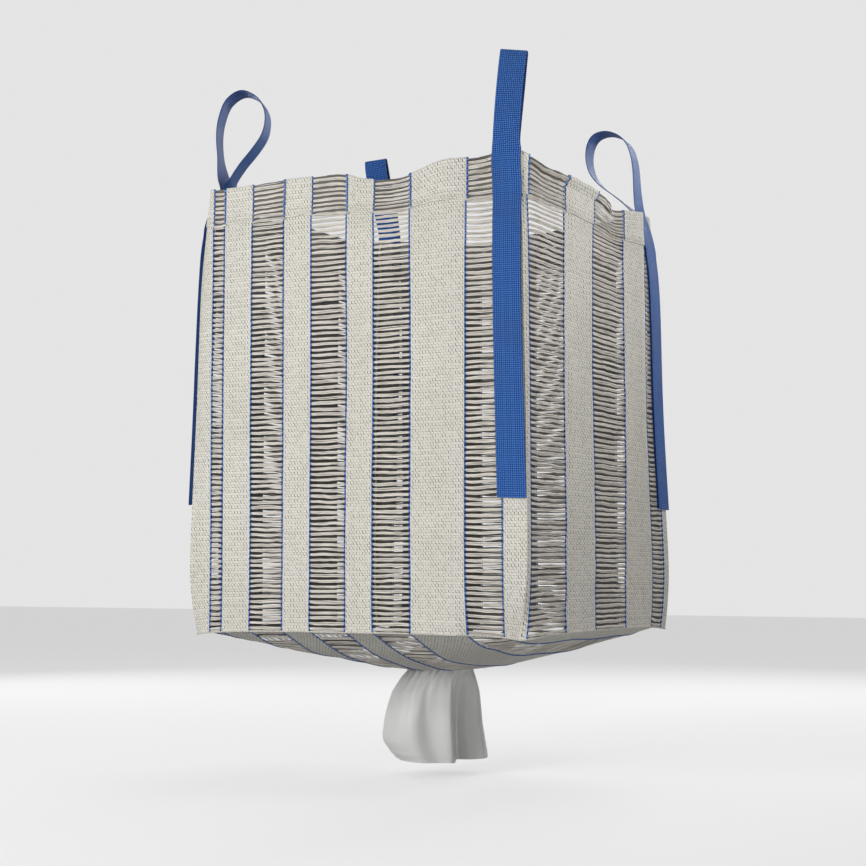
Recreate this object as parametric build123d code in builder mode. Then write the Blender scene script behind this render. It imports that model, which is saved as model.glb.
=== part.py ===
from build123d import *
import math
import os

# Ventilated bulk bag, hanging open by its four loops. Millimetres, +Z up.
# The origin is midway between the four loop crowns, so the whole bag hangs below it.
# Front faces -Y and the right side faces +X.

# Driving dimensions
wall_height = 1160           # bottom corners to rim
belly_half_width = 479       # widest half width, low on the walls
belly_height = 200           # height of the belly above the bottom corners
rim_draw_in = 51             # how far the rim stands inside the belly
foot_draw_in = 17            # how far the bottom corners stand inside the belly
pattern_half_width = 475     # half width at which the band places below are counted
corner_squeeze = 6           # how closely the drawing-in of the rim keeps to the corners
fabric = 2.0                 # woven wall
vent_fabric = 1.2            # open weave
slot_count = 12              # plain openings up each vent strip, below the hem
slot_share = 0.42            # how much of their spacing is open
slot_rail = 4                # width left beside them
leno_width = 5.0             # corded border of a vent strip
hem_height = 105
hem_fabric = 1.5
leno_rise = 0.4              # how far the corded borders stand out of the cloth
rim_dip = {"front": (75, 34), "right": (150, 26)}    # place and depth of the slack in the rim

webbing = 2.5
webbing_width = 70
tail_length = 830
tail_top_centre = 405        # centre line of the webbing at the rim, along its wall
tail_foot_centre = 440
loop_height = 250
loop_radius = 77             # outer radius of the loop's crown
loop_gap = 5                 # from the rim up to where a loop starts to turn
loop_neck = 12               # from the rim up to where the loop's two ends part

seam_flange = 18
seam_fabric = 3
bottom_hem = 12
binding = 3
sag = 100
floor_sections = ((300, 85, 50), (160, 120, 84))     # half width, corner radius, depth
mouth_half_width = 100
mouth_radius = 92

collar_radius = 84
pivot_depth = 112            # spout pivot below the bottom corners
neck_radius = 82
neck_fabric = 4
neck_rise = 26
neck_drop = 52
tie_radius = 3.4
tie_drop = 48
skirt_drop = 60
skirt_top_radius = 105
skirt_foot_radius = 142
spout_depth = 340            # spout end below the bottom corners
spout_fabric = 2.0
spout_hem_height = 22

rim_z = -loop_height
base_z = rim_z - wall_height
pivot_z = base_z - pivot_depth
reach = 620                  # past every corner
walls = {"front": 0, "right": 90, "back": 180, "left": 270}
corners = {"front": "front_right", "right": "back_right", "back": "back_left", "left": "front_left"}
front_vents = ((-407, -379), (-287, -196), (-109, -13), (69, 166), (320, 412))
side_vents = ((-450, -259), (-71, 133), (350, 431))
webbing_rise = leno_rise + hem_fabric                # the webbing is sewn over the hem
profile_heights = (0, 90, belly_height, 620, 900, 1035, 1105, wall_height)

os.makedirs("parts", exist_ok=True)


def half_width(height):
    """Half width of the square section at a height above the bottom corners."""
    if height < belly_height:
        return belly_half_width - foot_draw_in * ((belly_height - height) / belly_height) ** 2
    rise = (height - belly_height) / (wall_height - belly_height)
    return belly_half_width - 0.3 * rim_draw_in * rise ** 1.5 - 0.7 * rim_draw_in * rise ** 8


def along(wall):
    """Direction to the right along a wall, seen from outside."""
    turn = math.radians(walls[wall])
    return (math.cos(turn), math.sin(turn), 0)


def outward(wall):
    turn = math.radians(walls[wall])
    return (math.sin(turn), -math.cos(turn), 0)


def face_plane(wall):
    """Wall seen from outside: x to the right, y up."""
    return Plane(origin=(0, 0, 0), x_dir=along(wall), z_dir=outward(wall))


def section_plane(wall, place=0):
    """Upright section across a wall: x outward, y up, at a place along the wall."""
    right = along(wall)
    return Plane(
        origin=(right[0] * place, right[1] * place, 0),
        x_dir=outward(wall),
        z_dir=(-right[0], -right[1], 0),
    )


def vents_of(wall):
    """Vent strips of a wall, from its left seen from outside. Front and back are one cloth."""
    if wall == "back":
        return tuple((-high, -low) for low, high in reversed(front_vents))
    return front_vents if wall == "front" else side_vents


def dip_of(wall):
    return rim_dip["front"] if wall in ("front", "back") else rim_dip["right"]


def border(place):
    """Upright line on a wall, which is drawn in near the rim only where it is near a corner."""
    nearness = abs(place / pattern_half_width) ** corner_squeeze
    points = []
    for height in profile_heights:
        draw_in = 1 - half_width(height) / pattern_half_width
        points.append((place * (1 - nearness * draw_in), base_z + height))
    return points


def strip_face(low, high):
    """Upright strip between two places along a wall."""
    left_side = border(low)
    right_side = border(high)
    with BuildLine() as outline:
        Polyline(*left_side, *reversed(right_side), close=True)
    make_face(outline.edges())


def rim_points(wall, drop):
    """The rim's slack line, lowered by a drop."""
    place, depth = dip_of(wall)
    top = rim_z - drop
    return (
        (-reach, top),
        (place - 230, top - 2),
        (place, top - depth),
        (place + 180, top - 2),
        (reach, top),
    )


def below_rim(wall, drop, floor_z, mode):
    """Everything on a wall under the rim line and above a level."""
    points = rim_points(wall, drop)
    with BuildLine() as outline:
        Spline(*points)
        Polyline(points[-1], (reach, floor_z), (-reach, floor_z), points[0])
    make_face(outline.edges(), mode=mode)


def rim_band(wall, drop, depth):
    """Band that keeps parallel to the rim line."""
    upper = rim_points(wall, drop)
    lower = rim_points(wall, drop + depth)
    with BuildLine() as outline:
        Spline(*upper)
        Line(upper[-1], lower[-1])
        Spline(*lower)
        Line(lower[0], upper[0])
    make_face(outline.edges())


def tail_line(height):
    """Centre of the sewn webbing along its wall, at a height above the bottom corners."""
    down = (wall_height - height) / tail_length
    return tail_top_centre + (tail_foot_centre - tail_top_centre) * down


def tail_strip(offset_low, offset_high, top, foot, mode=Mode.ADD):
    """Strip parallel to the webbing's centre line."""
    Polygon(
        (tail_line(foot) + offset_low, base_z + foot),
        (tail_line(foot) + offset_high, base_z + foot),
        (tail_line(top) + offset_high, base_z + top),
        (tail_line(top) + offset_low, base_z + top),
        align=None,
        mode=mode,
    )


def wall_block(wall, inset, thickness, mitred=True):
    """Layer of a wall, from one corner to the other, in the part being built."""
    with BuildSketch(section_plane(wall)) as section:
        outer = [(half_width(h) - inset, base_z + h) for h in profile_heights]
        inner = [(x - thickness, z) for x, z in outer]
        with BuildLine():
            Polyline(*outer, *reversed(inner), close=True)
        make_face()
    extrude(section.sketch, amount=reach, both=True)
    if mitred:
        with BuildSketch(Plane.XY.offset(base_z - 10).rotated((0, 0, walls[wall]))) as wedge:
            Polygon((0, 0), (-reach, -reach), (reach, -reach), align=None)
        extrude(wedge.sketch, amount=wall_height + 20, mode=Mode.INTERSECT)


def panel(wall):
    """Plain woven bands of a wall, with the vent strips left out."""
    with BuildPart() as piece:
        wall_block(wall, 0, fabric)
        with BuildSketch(face_plane(wall)):
            below_rim(wall, 0, base_z - 5, Mode.ADD)
        extrude(amount=reach, mode=Mode.INTERSECT)
        with BuildSketch(face_plane(wall)):
            for low, high in vents_of(wall):
                strip_face(low - leno_width, high + leno_width)
        extrude(amount=reach, mode=Mode.SUBTRACT)
    return piece


def vents(wall):
    """Open woven strips of a wall, each with a plain grid of openings."""
    with BuildPart() as piece:
        wall_block(wall, 0.4, vent_fabric)
        with BuildSketch(face_plane(wall)):
            for low, high in vents_of(wall):
                strip_face(low, high)
            below_rim(wall, 0, base_z - 5, Mode.INTERSECT)
        extrude(amount=reach, mode=Mode.INTERSECT)
        spacing = (wall_height - hem_height) / slot_count
        with BuildSketch(face_plane(wall)):
            for low, high in vents_of(wall):
                strip_face(low + slot_rail, high - slot_rail)
            with Locations(*[(0, base_z + order * spacing) for order in range(slot_count + 1)]):
                Rectangle(2 * reach, (1 - slot_share) * spacing, mode=Mode.SUBTRACT)
            with Locations((0, rim_z)):
                Rectangle(2 * reach, 2 * hem_height, mode=Mode.SUBTRACT)
        extrude(amount=reach, mode=Mode.SUBTRACT)
    return piece


def leno_cords(wall):
    """Corded borders of a wall's vent strips."""
    with BuildPart() as piece:
        wall_block(wall, -leno_rise, fabric)
        with BuildSketch(face_plane(wall)):
            for low, high in vents_of(wall):
                strip_face(low - leno_width, low)
                strip_face(high, high + leno_width)
            below_rim(wall, 0, base_z - 5, Mode.INTERSECT)
        extrude(amount=reach, mode=Mode.INTERSECT)
    return piece


def hem(wall):
    """Cloth folded out over the rim and down the outside of a wall."""
    with BuildPart() as piece:
        wall_block(wall, -webbing_rise, hem_fabric)
        with BuildSketch(face_plane(wall)):
            rim_band(wall, 0, hem_height)
        extrude(amount=reach, mode=Mode.INTERSECT)
    return piece


def hem_stitching(wall):
    """Two rows of stitches that hold the hem, on the outside."""
    with BuildPart() as piece:
        wall_block(wall, -webbing_rise - 0.6, 0.6)
        with BuildSketch(face_plane(wall)):
            for drop in (hem_height - 22, hem_height - 10):
                rim_band(wall, drop, 2)
            tail_strip(-webbing_width / 2 - 1, webbing_width, wall_height, 0, Mode.SUBTRACT)
        extrude(amount=reach, mode=Mode.INTERSECT)
    return piece


def webbing_tail(wall):
    """Both ends of a loop, sewn one on the other down the wall beside its corner."""
    with BuildPart() as piece:
        wall_block(wall, -2 * webbing - webbing_rise, 2 * webbing, mitred=False)
        with BuildSketch(face_plane(wall)):
            tail_strip(-webbing_width / 2, webbing_width / 2, wall_height, wall_height - tail_length)
        extrude(amount=reach, mode=Mode.INTERSECT)
    return piece


def webbing_stitching(wall):
    """Stitch rows along both edges of a webbing tail and across its ends."""
    top = wall_height - 20
    foot = wall_height - tail_length + 12
    edge = webbing_width / 2 - 7
    with BuildPart() as piece:
        wall_block(wall, -2 * webbing - webbing_rise - 0.8, 0.8, mitred=False)
        with BuildSketch(face_plane(wall)):
            for side in (-edge, edge):
                tail_strip(side - 1, side + 1, top, foot)
            for row in (top, top - 120, foot + 120, foot + 2):
                tail_strip(-edge, edge, row, row - 2)
        extrude(amount=reach, mode=Mode.INTERSECT)
    return piece


def lifting_loop(wall):
    """Webbing loop that stands on the rim and leans in, as one closed ring on a sewn neck."""
    outer = half_width(wall_height) + webbing_rise + 2 * webbing
    eye_z = -loop_radius
    neck_z = rim_z + loop_neck
    foot = (outer - 2 * webbing, neck_z)
    across = loop_radius - 2 * webbing
    foot_angle = math.degrees(math.atan2(eye_z - neck_z, across))
    tangent_angle = math.degrees(math.acos(loop_radius / math.hypot(across, eye_z - neck_z)))
    lean = 180 - foot_angle - tangent_angle
    with BuildPart() as piece:
        with BuildSketch(section_plane(wall, tail_top_centre)):
            with BuildLine():
                outer_leg = Line((outer, neck_z), (outer, eye_z))
                crown = CenterArc((outer - loop_radius, eye_z), loop_radius, 0, 180 + lean)
                inner_leg = Line(crown @ 1, foot)
                Line(inner_leg @ 1, outer_leg @ 0)
            make_face()
            offset(amount=-webbing, mode=Mode.SUBTRACT)
            with Locations((outer - webbing, rim_z + (loop_gap + loop_neck) / 2)):
                Rectangle(2 * webbing, loop_neck - loop_gap)
        extrude(amount=webbing_width / 2, both=True)
    return piece


def corner_seam(wall):
    """Seam allowance inside the corner at the right-hand end of a wall, on the diagonal."""
    right = along(wall)
    out = outward(wall)
    diagonal = ((right[0] + out[0]) / math.sqrt(2), (right[1] + out[1]) / math.sqrt(2), 0)
    across = (diagonal[1], -diagonal[0], 0)
    top = wall_height - 5
    heights = [h for h in profile_heights if h < top] + [top]
    outer = [
        ((half_width(h) - fabric) * math.sqrt(2) - 0.8 * seam_fabric, base_z + h)
        for h in heights
    ]
    inner = [(x - seam_flange, z) for x, z in outer]
    with BuildPart() as piece:
        with BuildSketch(Plane(origin=(0, 0, 0), x_dir=diagonal, z_dir=across)):
            with BuildLine():
                Polyline(*outer, *reversed(inner), close=True)
            make_face()
        extrude(amount=seam_fabric / 2, both=True)
    return piece


def bottom_seam(wall):
    """Binding along the bottom edge of a wall, mitred at the corners."""
    edge = half_width(0)
    with BuildPart() as piece:
        with BuildSketch(Plane.XY.offset(base_z - bottom_hem).rotated((0, 0, walls[wall]))):
            Polygon(
                (-edge, -edge),
                (edge, -edge),
                (edge + binding, -edge - binding),
                (-edge - binding, -edge - binding),
                align=None,
            )
        extrude(amount=bottom_hem)
    return piece


def floor_sketches(rise):
    """Sections of the sagging bottom, from its edge down to the spout's mouth, lifted by a rise."""
    sections = ((half_width(0), 12, bottom_hem),) + floor_sections + ((mouth_half_width, 99, sag),)
    sketches = []
    for half, radius, depth in sections:
        with BuildSketch(Plane.XY.offset(base_z - depth + rise)) as section:
            RectangleRounded(2 * half, 2 * half, radius)
        sketches.append(section.sketch)
    return sketches


# Walls: bands, vent strips, corded borders, hems and their stitching
for wall in walls:
    wall_panel = panel(wall)
    wall_panel.part.label = f"{wall}_panel"
    export_step(wall_panel.part, f"parts/{wall}_panel.step")

    wall_vents = vents(wall)
    wall_vents.part.label = f"{wall}_vents"
    export_step(wall_vents.part, f"parts/{wall}_vents.step")

    wall_cords = leno_cords(wall)
    wall_cords.part.label = f"{wall}_leno_cords"
    export_step(wall_cords.part, f"parts/{wall}_leno_cords.step")

    wall_hem = hem(wall)
    wall_hem.part.label = f"{wall}_hem"
    export_step(wall_hem.part, f"parts/{wall}_hem.step")

    stitches = hem_stitching(wall)
    stitches.part.label = f"{wall}_hem_stitching"
    export_step(stitches.part, f"parts/{wall}_hem_stitching.step")

    seam = bottom_seam(wall)
    seam.part.label = f"bottom_seam_{wall}"
    export_step(seam.part, f"parts/bottom_seam_{wall}.step")

# Corners: seam allowance, sewn webbing and its stitching, lifting loop
for wall, corner in corners.items():
    seam = corner_seam(wall)
    seam.part.label = f"corner_seam_{corner}"
    export_step(seam.part, f"parts/corner_seam_{corner}.step")

    tail = webbing_tail(wall)
    tail.part.label = f"webbing_{corner}"
    export_step(tail.part, f"parts/webbing_{corner}.step")

    stitches = webbing_stitching(wall)
    stitches.part.label = f"stitching_{corner}"
    export_step(stitches.part, f"parts/stitching_{corner}.step")

    loop = lifting_loop(wall)
    loop.part.label = f"loop_{corner}"
    export_step(loop.part, f"parts/loop_{corner}.step")

# Bottom: sagging cloth with the spout's mouth in its middle, in four gores that meet on the diagonals
with BuildPart() as bottom_panel:
    with BuildSketch(Plane.XY.offset(base_z - bottom_hem)):
        Rectangle(2 * half_width(0), 2 * half_width(0))
    extrude(amount=bottom_hem)
    loft(floor_sketches(0), ruled=True)
    with BuildSketch(Plane.XY.offset(base_z - bottom_hem)):
        Rectangle(2 * (half_width(0) - fabric), 2 * (half_width(0) - fabric))
    extrude(amount=bottom_hem, mode=Mode.SUBTRACT)
    loft(floor_sketches(1.1 * fabric), ruled=True, mode=Mode.SUBTRACT)
    with BuildSketch(Plane.XY.offset(base_z - sag - 10)):
        Circle(mouth_radius)
    extrude(amount=sag, mode=Mode.SUBTRACT)
    for normal in ((1, 1, 0), (1, -1, 0)):
        split(bisect_by=Plane(origin=(0, 0, 0), z_dir=normal), keep=Keep.BOTH)
bottom_panel.part.label = "bottom_panel"
export_step(bottom_panel.part, "parts/bottom_panel.step")

# Spout: collar sewn in the mouth, gathered neck, tie band, skirt and hem
with BuildPart() as spout_collar:
    with BuildSketch(Plane.XZ):
        with Locations(((collar_radius + mouth_radius) / 2, base_z - sag + fabric)):
            Rectangle(mouth_radius - collar_radius, 2 * fabric)
    revolve(axis=Axis.Z)
spout_collar.part.label = "spout_collar"
export_step(spout_collar.part, "parts/spout_collar.step")

with BuildPart() as spout_neck:
    with BuildSketch(Plane.XZ):
        with Locations((0, pivot_z)):
            Circle(neck_radius)
            Circle(neck_radius - neck_fabric, mode=Mode.SUBTRACT)
        with Locations((neck_radius / 2, pivot_z)):
            Rectangle(neck_radius - neck_fabric / 2, neck_fabric)
        with Locations((neck_radius / 2, pivot_z + (neck_rise - neck_drop) / 2)):
            Rectangle(neck_radius, neck_rise + neck_drop, mode=Mode.INTERSECT)
    revolve(axis=Axis.Z)
spout_neck.part.label = "spout_neck"
export_step(spout_neck.part, "parts/spout_neck.step")

with BuildPart() as spout_tie:
    ring_radius = math.sqrt((neck_radius + tie_radius) ** 2 - tie_drop ** 2)
    with BuildSketch(Plane.XZ):
        with Locations((ring_radius, pivot_z - tie_drop)):
            Circle(tie_radius - 0.05)
    revolve(axis=Axis.Z)
spout_tie.part.label = "spout_tie"
export_step(spout_tie.part, "parts/spout_tie.step")

with BuildPart() as spout_skirt:
    with BuildSketch(Plane.XZ):
        with BuildLine():
            outer_side = Spline(
                (skirt_top_radius, pivot_z - skirt_drop),
                (0.5 * (skirt_top_radius + skirt_foot_radius) + 6, 0.5 * (pivot_z - skirt_drop + base_z - spout_depth)),
                (skirt_foot_radius, base_z - spout_depth),
            )
            inner_side = Spline(
                *[(point.X - spout_fabric, point.Y) for point in (outer_side @ 0, outer_side @ 0.5, outer_side @ 1)]
            )
            Line(outer_side @ 0, inner_side @ 0)
            Line(outer_side @ 1, inner_side @ 1)
        make_face()
    revolve(axis=Axis.Z)
spout_skirt.part.label = "spout_skirt"
export_step(spout_skirt.part, "parts/spout_skirt.step")

with BuildPart() as spout_hem:
    with BuildSketch(Plane.XZ):
        with Locations((skirt_foot_radius + spout_fabric / 2, base_z - spout_depth + spout_hem_height / 2)):
            Rectangle(spout_fabric, spout_hem_height)
    revolve(axis=Axis.Z)
spout_hem.part.label = "spout_hem"
export_step(spout_hem.part, "parts/spout_hem.step")
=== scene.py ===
import bmesh
import bpy
import math
import numpy as np
from functools import partial
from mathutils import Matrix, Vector


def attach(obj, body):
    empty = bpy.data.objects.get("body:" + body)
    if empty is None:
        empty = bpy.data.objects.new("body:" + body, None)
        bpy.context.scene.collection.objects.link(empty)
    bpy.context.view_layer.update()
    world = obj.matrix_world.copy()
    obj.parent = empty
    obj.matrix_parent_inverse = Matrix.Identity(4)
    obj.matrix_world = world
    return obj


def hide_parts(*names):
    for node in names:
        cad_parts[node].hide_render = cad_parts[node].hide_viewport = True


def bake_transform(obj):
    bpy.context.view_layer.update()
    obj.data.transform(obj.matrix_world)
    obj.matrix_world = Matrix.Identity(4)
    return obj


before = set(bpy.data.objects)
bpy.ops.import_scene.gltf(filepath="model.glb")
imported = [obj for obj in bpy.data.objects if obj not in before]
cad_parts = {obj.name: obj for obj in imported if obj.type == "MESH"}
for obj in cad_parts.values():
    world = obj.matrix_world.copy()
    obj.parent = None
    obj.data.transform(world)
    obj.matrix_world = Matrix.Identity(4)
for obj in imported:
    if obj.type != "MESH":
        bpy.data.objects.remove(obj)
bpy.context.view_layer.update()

# Bulk bag hanging open by its four loops. Metres, front faces -Y, right side faces +X.
weaveMap = "weave"    # every cloth piece's own map, in metres along and up the cloth

bag = {
    "wallHeight": 1.160,
    "bellyHalfWidth": 0.479,
    "bellyHeight": 0.200,
    "rimDrawIn": 0.051,
    "rimCurve": ((0.3, 1.5), (0.7, 8)),    # shares of the draw-in and the powers they rise with
    "footDrawIn": 0.017,
    "patternHalfWidth": 0.475,
    "cornerSqueeze": 6,
    "leftTurn": 0.400,    # where the left-hand end of a wall starts to turn in, along it
    "leftFullness": 0.11,
    "rightTurn": (0.375, 0.27),    # where the right-hand end comes in to the webbing, from its end inwards
    "baseZ": -1.410,
    "pivotZ": -1.522,
    "clothThickness": 0.0012,
    "footArch": 0.012,
    "footArchHeight": 0.30,
    "rimSlackFrom": 0.98,    # the rim's dips reach down to this height
    "sag": 0.104,
    "sagPower": 1.95,
    "bottomSlack": 0.0035,
    "bottomPitch": 0.21,
    "bottomCalm": (0.10, 0.17),    # the slack dies out towards the mouth between these radii
    "mouthRadius": 0.092,
    "rimPullFrom": 1.05,     # the corners' pull at the rim starts at this height
    "pullHeight": 0.66,      # and the pull below it is strongest at this one
    "pullReach": 0.46,
    "cornerPulls": {    # how far each corner stands out of the even plan: at the rim, below it, at the foot
        "front_left": (-0.006, -0.009, 0.0),
        "front_right": (0.0215, 0.0, -0.028),
        "back_right": (-0.001, -0.0165, 0.004),
        "back_left": (0.012, 0.0, 0.0),
    },
}
bag["footHalf"] = bag["bellyHalfWidth"] - bag["footDrawIn"]

wallTurns = {"front": 0, "right": 90, "back": 180, "left": 270}
wallCorners = {    # left and right end of each wall, seen from outside
    "front": ("front_left", "front_right"),
    "right": ("front_right", "back_right"),
    "back": ("back_right", "back_left"),
    "left": ("back_left", "front_left"),
}
frontVents = ((-0.407, -0.379), (-0.287, -0.196), (-0.109, -0.013), (0.069, 0.166), (0.320, 0.412))
sideVents = ((-0.450, -0.259), (-0.071, 0.133), (0.350, 0.431))
wallVents = {
    "front": frontVents,
    "right": sideVents,
    "back": tuple((-high, -low) for low, high in reversed(frontVents)),
    "left": sideVents,
}
rimLines = {    # height of the rim's line against its nominal level, by place along the wall
    "front": (
        (-0.475, -0.007), (-0.420, -0.014), (-0.296, -0.016), (-0.206, -0.012), (-0.116, -0.0135),
        (-0.015, -0.016), (0.036, -0.033), (0.105, -0.0395), (0.165, -0.036), (0.200, -0.027),
        (0.252, -0.013), (0.319, -0.009), (0.397, 0.000), (0.475, -0.002),
    ),
    "right": (
        (-0.475, -0.002), (-0.440, -0.016), (-0.258, -0.028), (-0.062, -0.034), (0.006, -0.042),
        (0.039, -0.051), (0.140, -0.042), (0.297, -0.020), (0.400, -0.006), (0.475, 0.000),
    ),
    "back": (
        (-0.475, 0.000), (-0.230, 0.002), (-0.060, -0.010), (0.075, -0.030), (0.200, -0.012), (0.475, 0.001),
    ),
    "left": (
        (-0.475, 0.001), (-0.180, -0.010), (0.000, -0.010), (0.140, -0.026), (0.280, -0.013), (0.475, -0.007),
    ),
}


def readVerts(mesh):
    spots = np.zeros(len(mesh.vertices) * 3, np.float32)
    mesh.vertices.foreach_get("co", spots)
    return spots.reshape(-1, 3).astype(float)


def writeVerts(mesh, spots):
    mesh.vertices.foreach_set("co", np.asarray(spots, np.float32).ravel())
    mesh.update()


def readMap(mesh):
    spots = np.zeros(len(mesh.loops) * 2, np.float32)
    mesh.uv_layers[weaveMap].uv.foreach_get("vector", spots)
    return spots.reshape(-1, 2).astype(float)


def writeMap(mesh, spots):
    mesh.uv_layers[weaveMap].uv.foreach_set("vector", np.asarray(spots, np.float32).ravel())


def stacked(*parts):
    return np.stack(np.broadcast_arrays(*parts), axis=-1)


def smoothStep(low, high, value):
    t = np.clip((value - low) / (high - low), 0, 1)
    return t * t * (3 - 2 * t)


def ripple(seed, x, y, length):
    # smooth random relief from -1 to 1, from a few crossing waves
    waves = 7
    draw = np.random.default_rng(seed)
    total = 0
    for _ in range(waves):
        turn = draw.uniform(0, math.tau)
        pitch = length * draw.uniform(0.7, 1.5)
        along = x * math.cos(turn) + y * math.sin(turn)
        total = total + np.sin(along * math.tau / pitch + draw.uniform(0, math.tau))
    return total / math.sqrt(2 * waves)


def betweenPoints(a, b, c, d, t):
    # smooth line from b to c, with their neighbours a and d
    bend, sway = 2 * a - 5 * b + 4 * c - d, 3 * b - a - 3 * c + d
    return 0.5 * (2 * b + (c - a) * t + bend * t ** 2 + sway * t ** 3)


def gridWork(columns, rows):
    work = bmesh.new()
    work.loops.layers.uv.new(weaveMap)
    bmesh.ops.create_grid(work, x_segments=columns, y_segments=rows, size=0.5, calc_uvs=True)
    bmesh.ops.translate(work, verts=work.verts, vec=(0.5, 0.5, 0))
    return work


def toMesh(work, name="part"):
    mesh = bpy.data.meshes.new(name)
    work.to_mesh(mesh)
    work.free()
    return mesh


def sheetMesh(columns, rows, place, measure):
    # a grid from 0 to 1 both ways, moved by place and mapped by measure
    mesh = toMesh(gridWork(columns, rows))
    unit = readVerts(mesh)
    corners = readMap(mesh)
    writeMap(mesh, stacked(*measure(corners[:, 0], corners[:, 1])))
    writeVerts(mesh, place(unit[:, 0], unit[:, 1]))
    return mesh


def rolledWork(steps, sides):
    # a closed tube along x from 0 to 1, with a unit circle round it
    work = gridWork(steps, sides)
    for vert in work.verts:
        turn = vert.co.y * math.tau
        vert.co = (vert.co.x, math.cos(turn) * 0.5, math.sin(turn) * 0.5)
    bmesh.ops.remove_doubles(work, verts=work.verts, dist=1e-5)
    rims = [edge for edge in work.edges if edge.is_boundary]
    bmesh.ops.holes_fill(work, edges=rims, sides=sides)
    bmesh.ops.recalc_face_normals(work, faces=work.faces)
    return work


def repeatedMesh(work, count):
    # copies of one shape, in order, all in one mesh
    one = toMesh(work)
    work = bmesh.new()
    work.from_mesh(one)
    bpy.data.meshes.remove(one)
    first = len(work.verts)
    have = 1
    while have < count:
        more = min(have, count - have)
        work.verts.index_update()
        verts = list(work.verts)[: more * first]
        edges = [edge for edge in work.edges if edge.verts[0].index < more * first]
        faces = [face for face in work.faces if face.verts[0].index < more * first]
        bmesh.ops.duplicate(work, geom=verts + edges + faces)
        have += more
    return toMesh(work)


def joinedPiece(name, meshes):
    work = bmesh.new()
    for mesh in meshes:
        work.from_mesh(mesh)
        bpy.data.meshes.remove(mesh)
    piece = bpy.data.objects.new(name, toMesh(work, name))
    bpy.context.scene.collection.objects.link(piece)
    for face in piece.data.polygons:
        face.use_smooth = True
    return piece


def thicken(piece, thickness, offset=-1, innerSlot=0):    # inwards, or both ways with an offset of 0
    shell = piece.modifiers.new("thickness", "SOLIDIFY")
    shell.thickness = thickness
    shell.offset = offset
    shell.material_offset = innerSlot
    bpy.context.view_layer.update()
    solid = bpy.data.meshes.new_from_object(piece.evaluated_get(bpy.context.evaluated_depsgraph_get()))
    piece.modifiers.clear()
    piece.data = solid
    solid.name = piece.name
    solid.set_sharp_from_angle(angle=math.radians(55))


def dress(piece, material, nodes=(), body="bag"):
    if not piece.data.materials:
        piece.data.materials.append(material)
    if body:
        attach(piece, body)
    if nodes:
        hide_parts(*nodes)
    return piece


def halfWidth(height):
    low = bag["footDrawIn"] * (np.clip(bag["bellyHeight"] - height, 0, None) / bag["bellyHeight"]) ** 2
    rise = np.clip((height - bag["bellyHeight"]) / (bag["wallHeight"] - bag["bellyHeight"]), 0, 1.05)
    return bag["bellyHalfWidth"] - low - bag["rimDrawIn"] * sum(
        share * rise ** power for share, power in bag["rimCurve"])


def cornerHalf(corner, height):
    rim, upper, foot = bag["cornerPulls"][corner]
    below = np.exp(-(((height - bag["pullHeight"]) / bag["pullReach"]) ** 2))
    pull = rim * smoothStep(bag["rimPullFrom"], bag["wallHeight"], height) + upper * below
    return halfWidth(height) + pull + foot * np.clip(1 - height / bag["bellyHeight"], 0, 1) ** 2


def planPoint(along, left, right):
    # plan of a wall whose ends stand at these half widths: (along, outward). The webbing draws
    # the right-hand end in, and the left-hand end turns in sharply just before its seam.
    full = bag["bellyHalfWidth"]
    turn = bag["leftTurn"]
    nearness = (np.clip(along, 0, None) / bag["patternHalfWidth"]) ** bag["cornerSqueeze"]
    across = along * (1 - nearness * (1 - right / bag["patternHalfWidth"]))
    out = right + (full - right) * smoothStep(*bag["rightTurn"], along)
    t = np.clip((-along - turn) / (bag["patternHalfWidth"] - turn), 0, 1)
    middle = 0.5 * (turn + full) + bag["leftFullness"] * (full - left)
    across = np.where(t > 0, -((1 - t) ** 2 * turn + 2 * t * (1 - t) * middle + t ** 2 * left), across)
    out = np.where(t > 0, ((1 - t) ** 2 + 2 * t * (1 - t)) * full + t ** 2 * left, out)
    return across, out


def planOf(wall, along, height):
    left, right = (cornerHalf(corner, height) for corner in wallCorners[wall])
    return planPoint(along, left, right)


def wallAxes(wall):
    turn = math.radians(wallTurns[wall])
    return np.array((math.cos(turn), math.sin(turn), 0)), np.array((math.sin(turn), -math.cos(turn), 0))


def calmAt(along):
    # 1 in the middle of a wall and 0 at its corners
    return np.clip(1 - np.abs(along / bag["patternHalfWidth"]) ** 4, 0, 1)


def smoothTable(table, value):
    # smooth line through a few given places
    places, levels = np.array(table).T
    slopes = np.gradient(levels, places)
    value = np.clip(value, places[0], places[-1])
    order = np.clip(np.searchsorted(places, value) - 1, 0, len(places) - 2)
    gap = places[order + 1] - places[order]
    t = (value - places[order]) / gap
    start = levels[order] * (1 + 2 * t) * (1 - t) ** 2 + slopes[order] * gap * t * (1 - t) ** 2
    return start + levels[order + 1] * t ** 2 * (3 - 2 * t) + slopes[order + 1] * gap * t ** 2 * (t - 1)


slackLook = {
    # relief, stretch upwards and length of each set of waves
    "waves": ((0.0032, 0.6, 0.42), (0.0009, 0.7, 0.12), (0.00035, 1.0, 0.045)),
    "drag": 0.0013,
    "dragPitch": 0.043,
    "dragHeights": (0.62, 0.12),    # drag lines fade out from the lower height to the upper one
    "dragEnds": (0.42, -0.1),
    "lip": 0.014,
    "lipHeights": (1.132, 1.156),
    "lipEnds": (0.060, 0.020),
}


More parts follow.
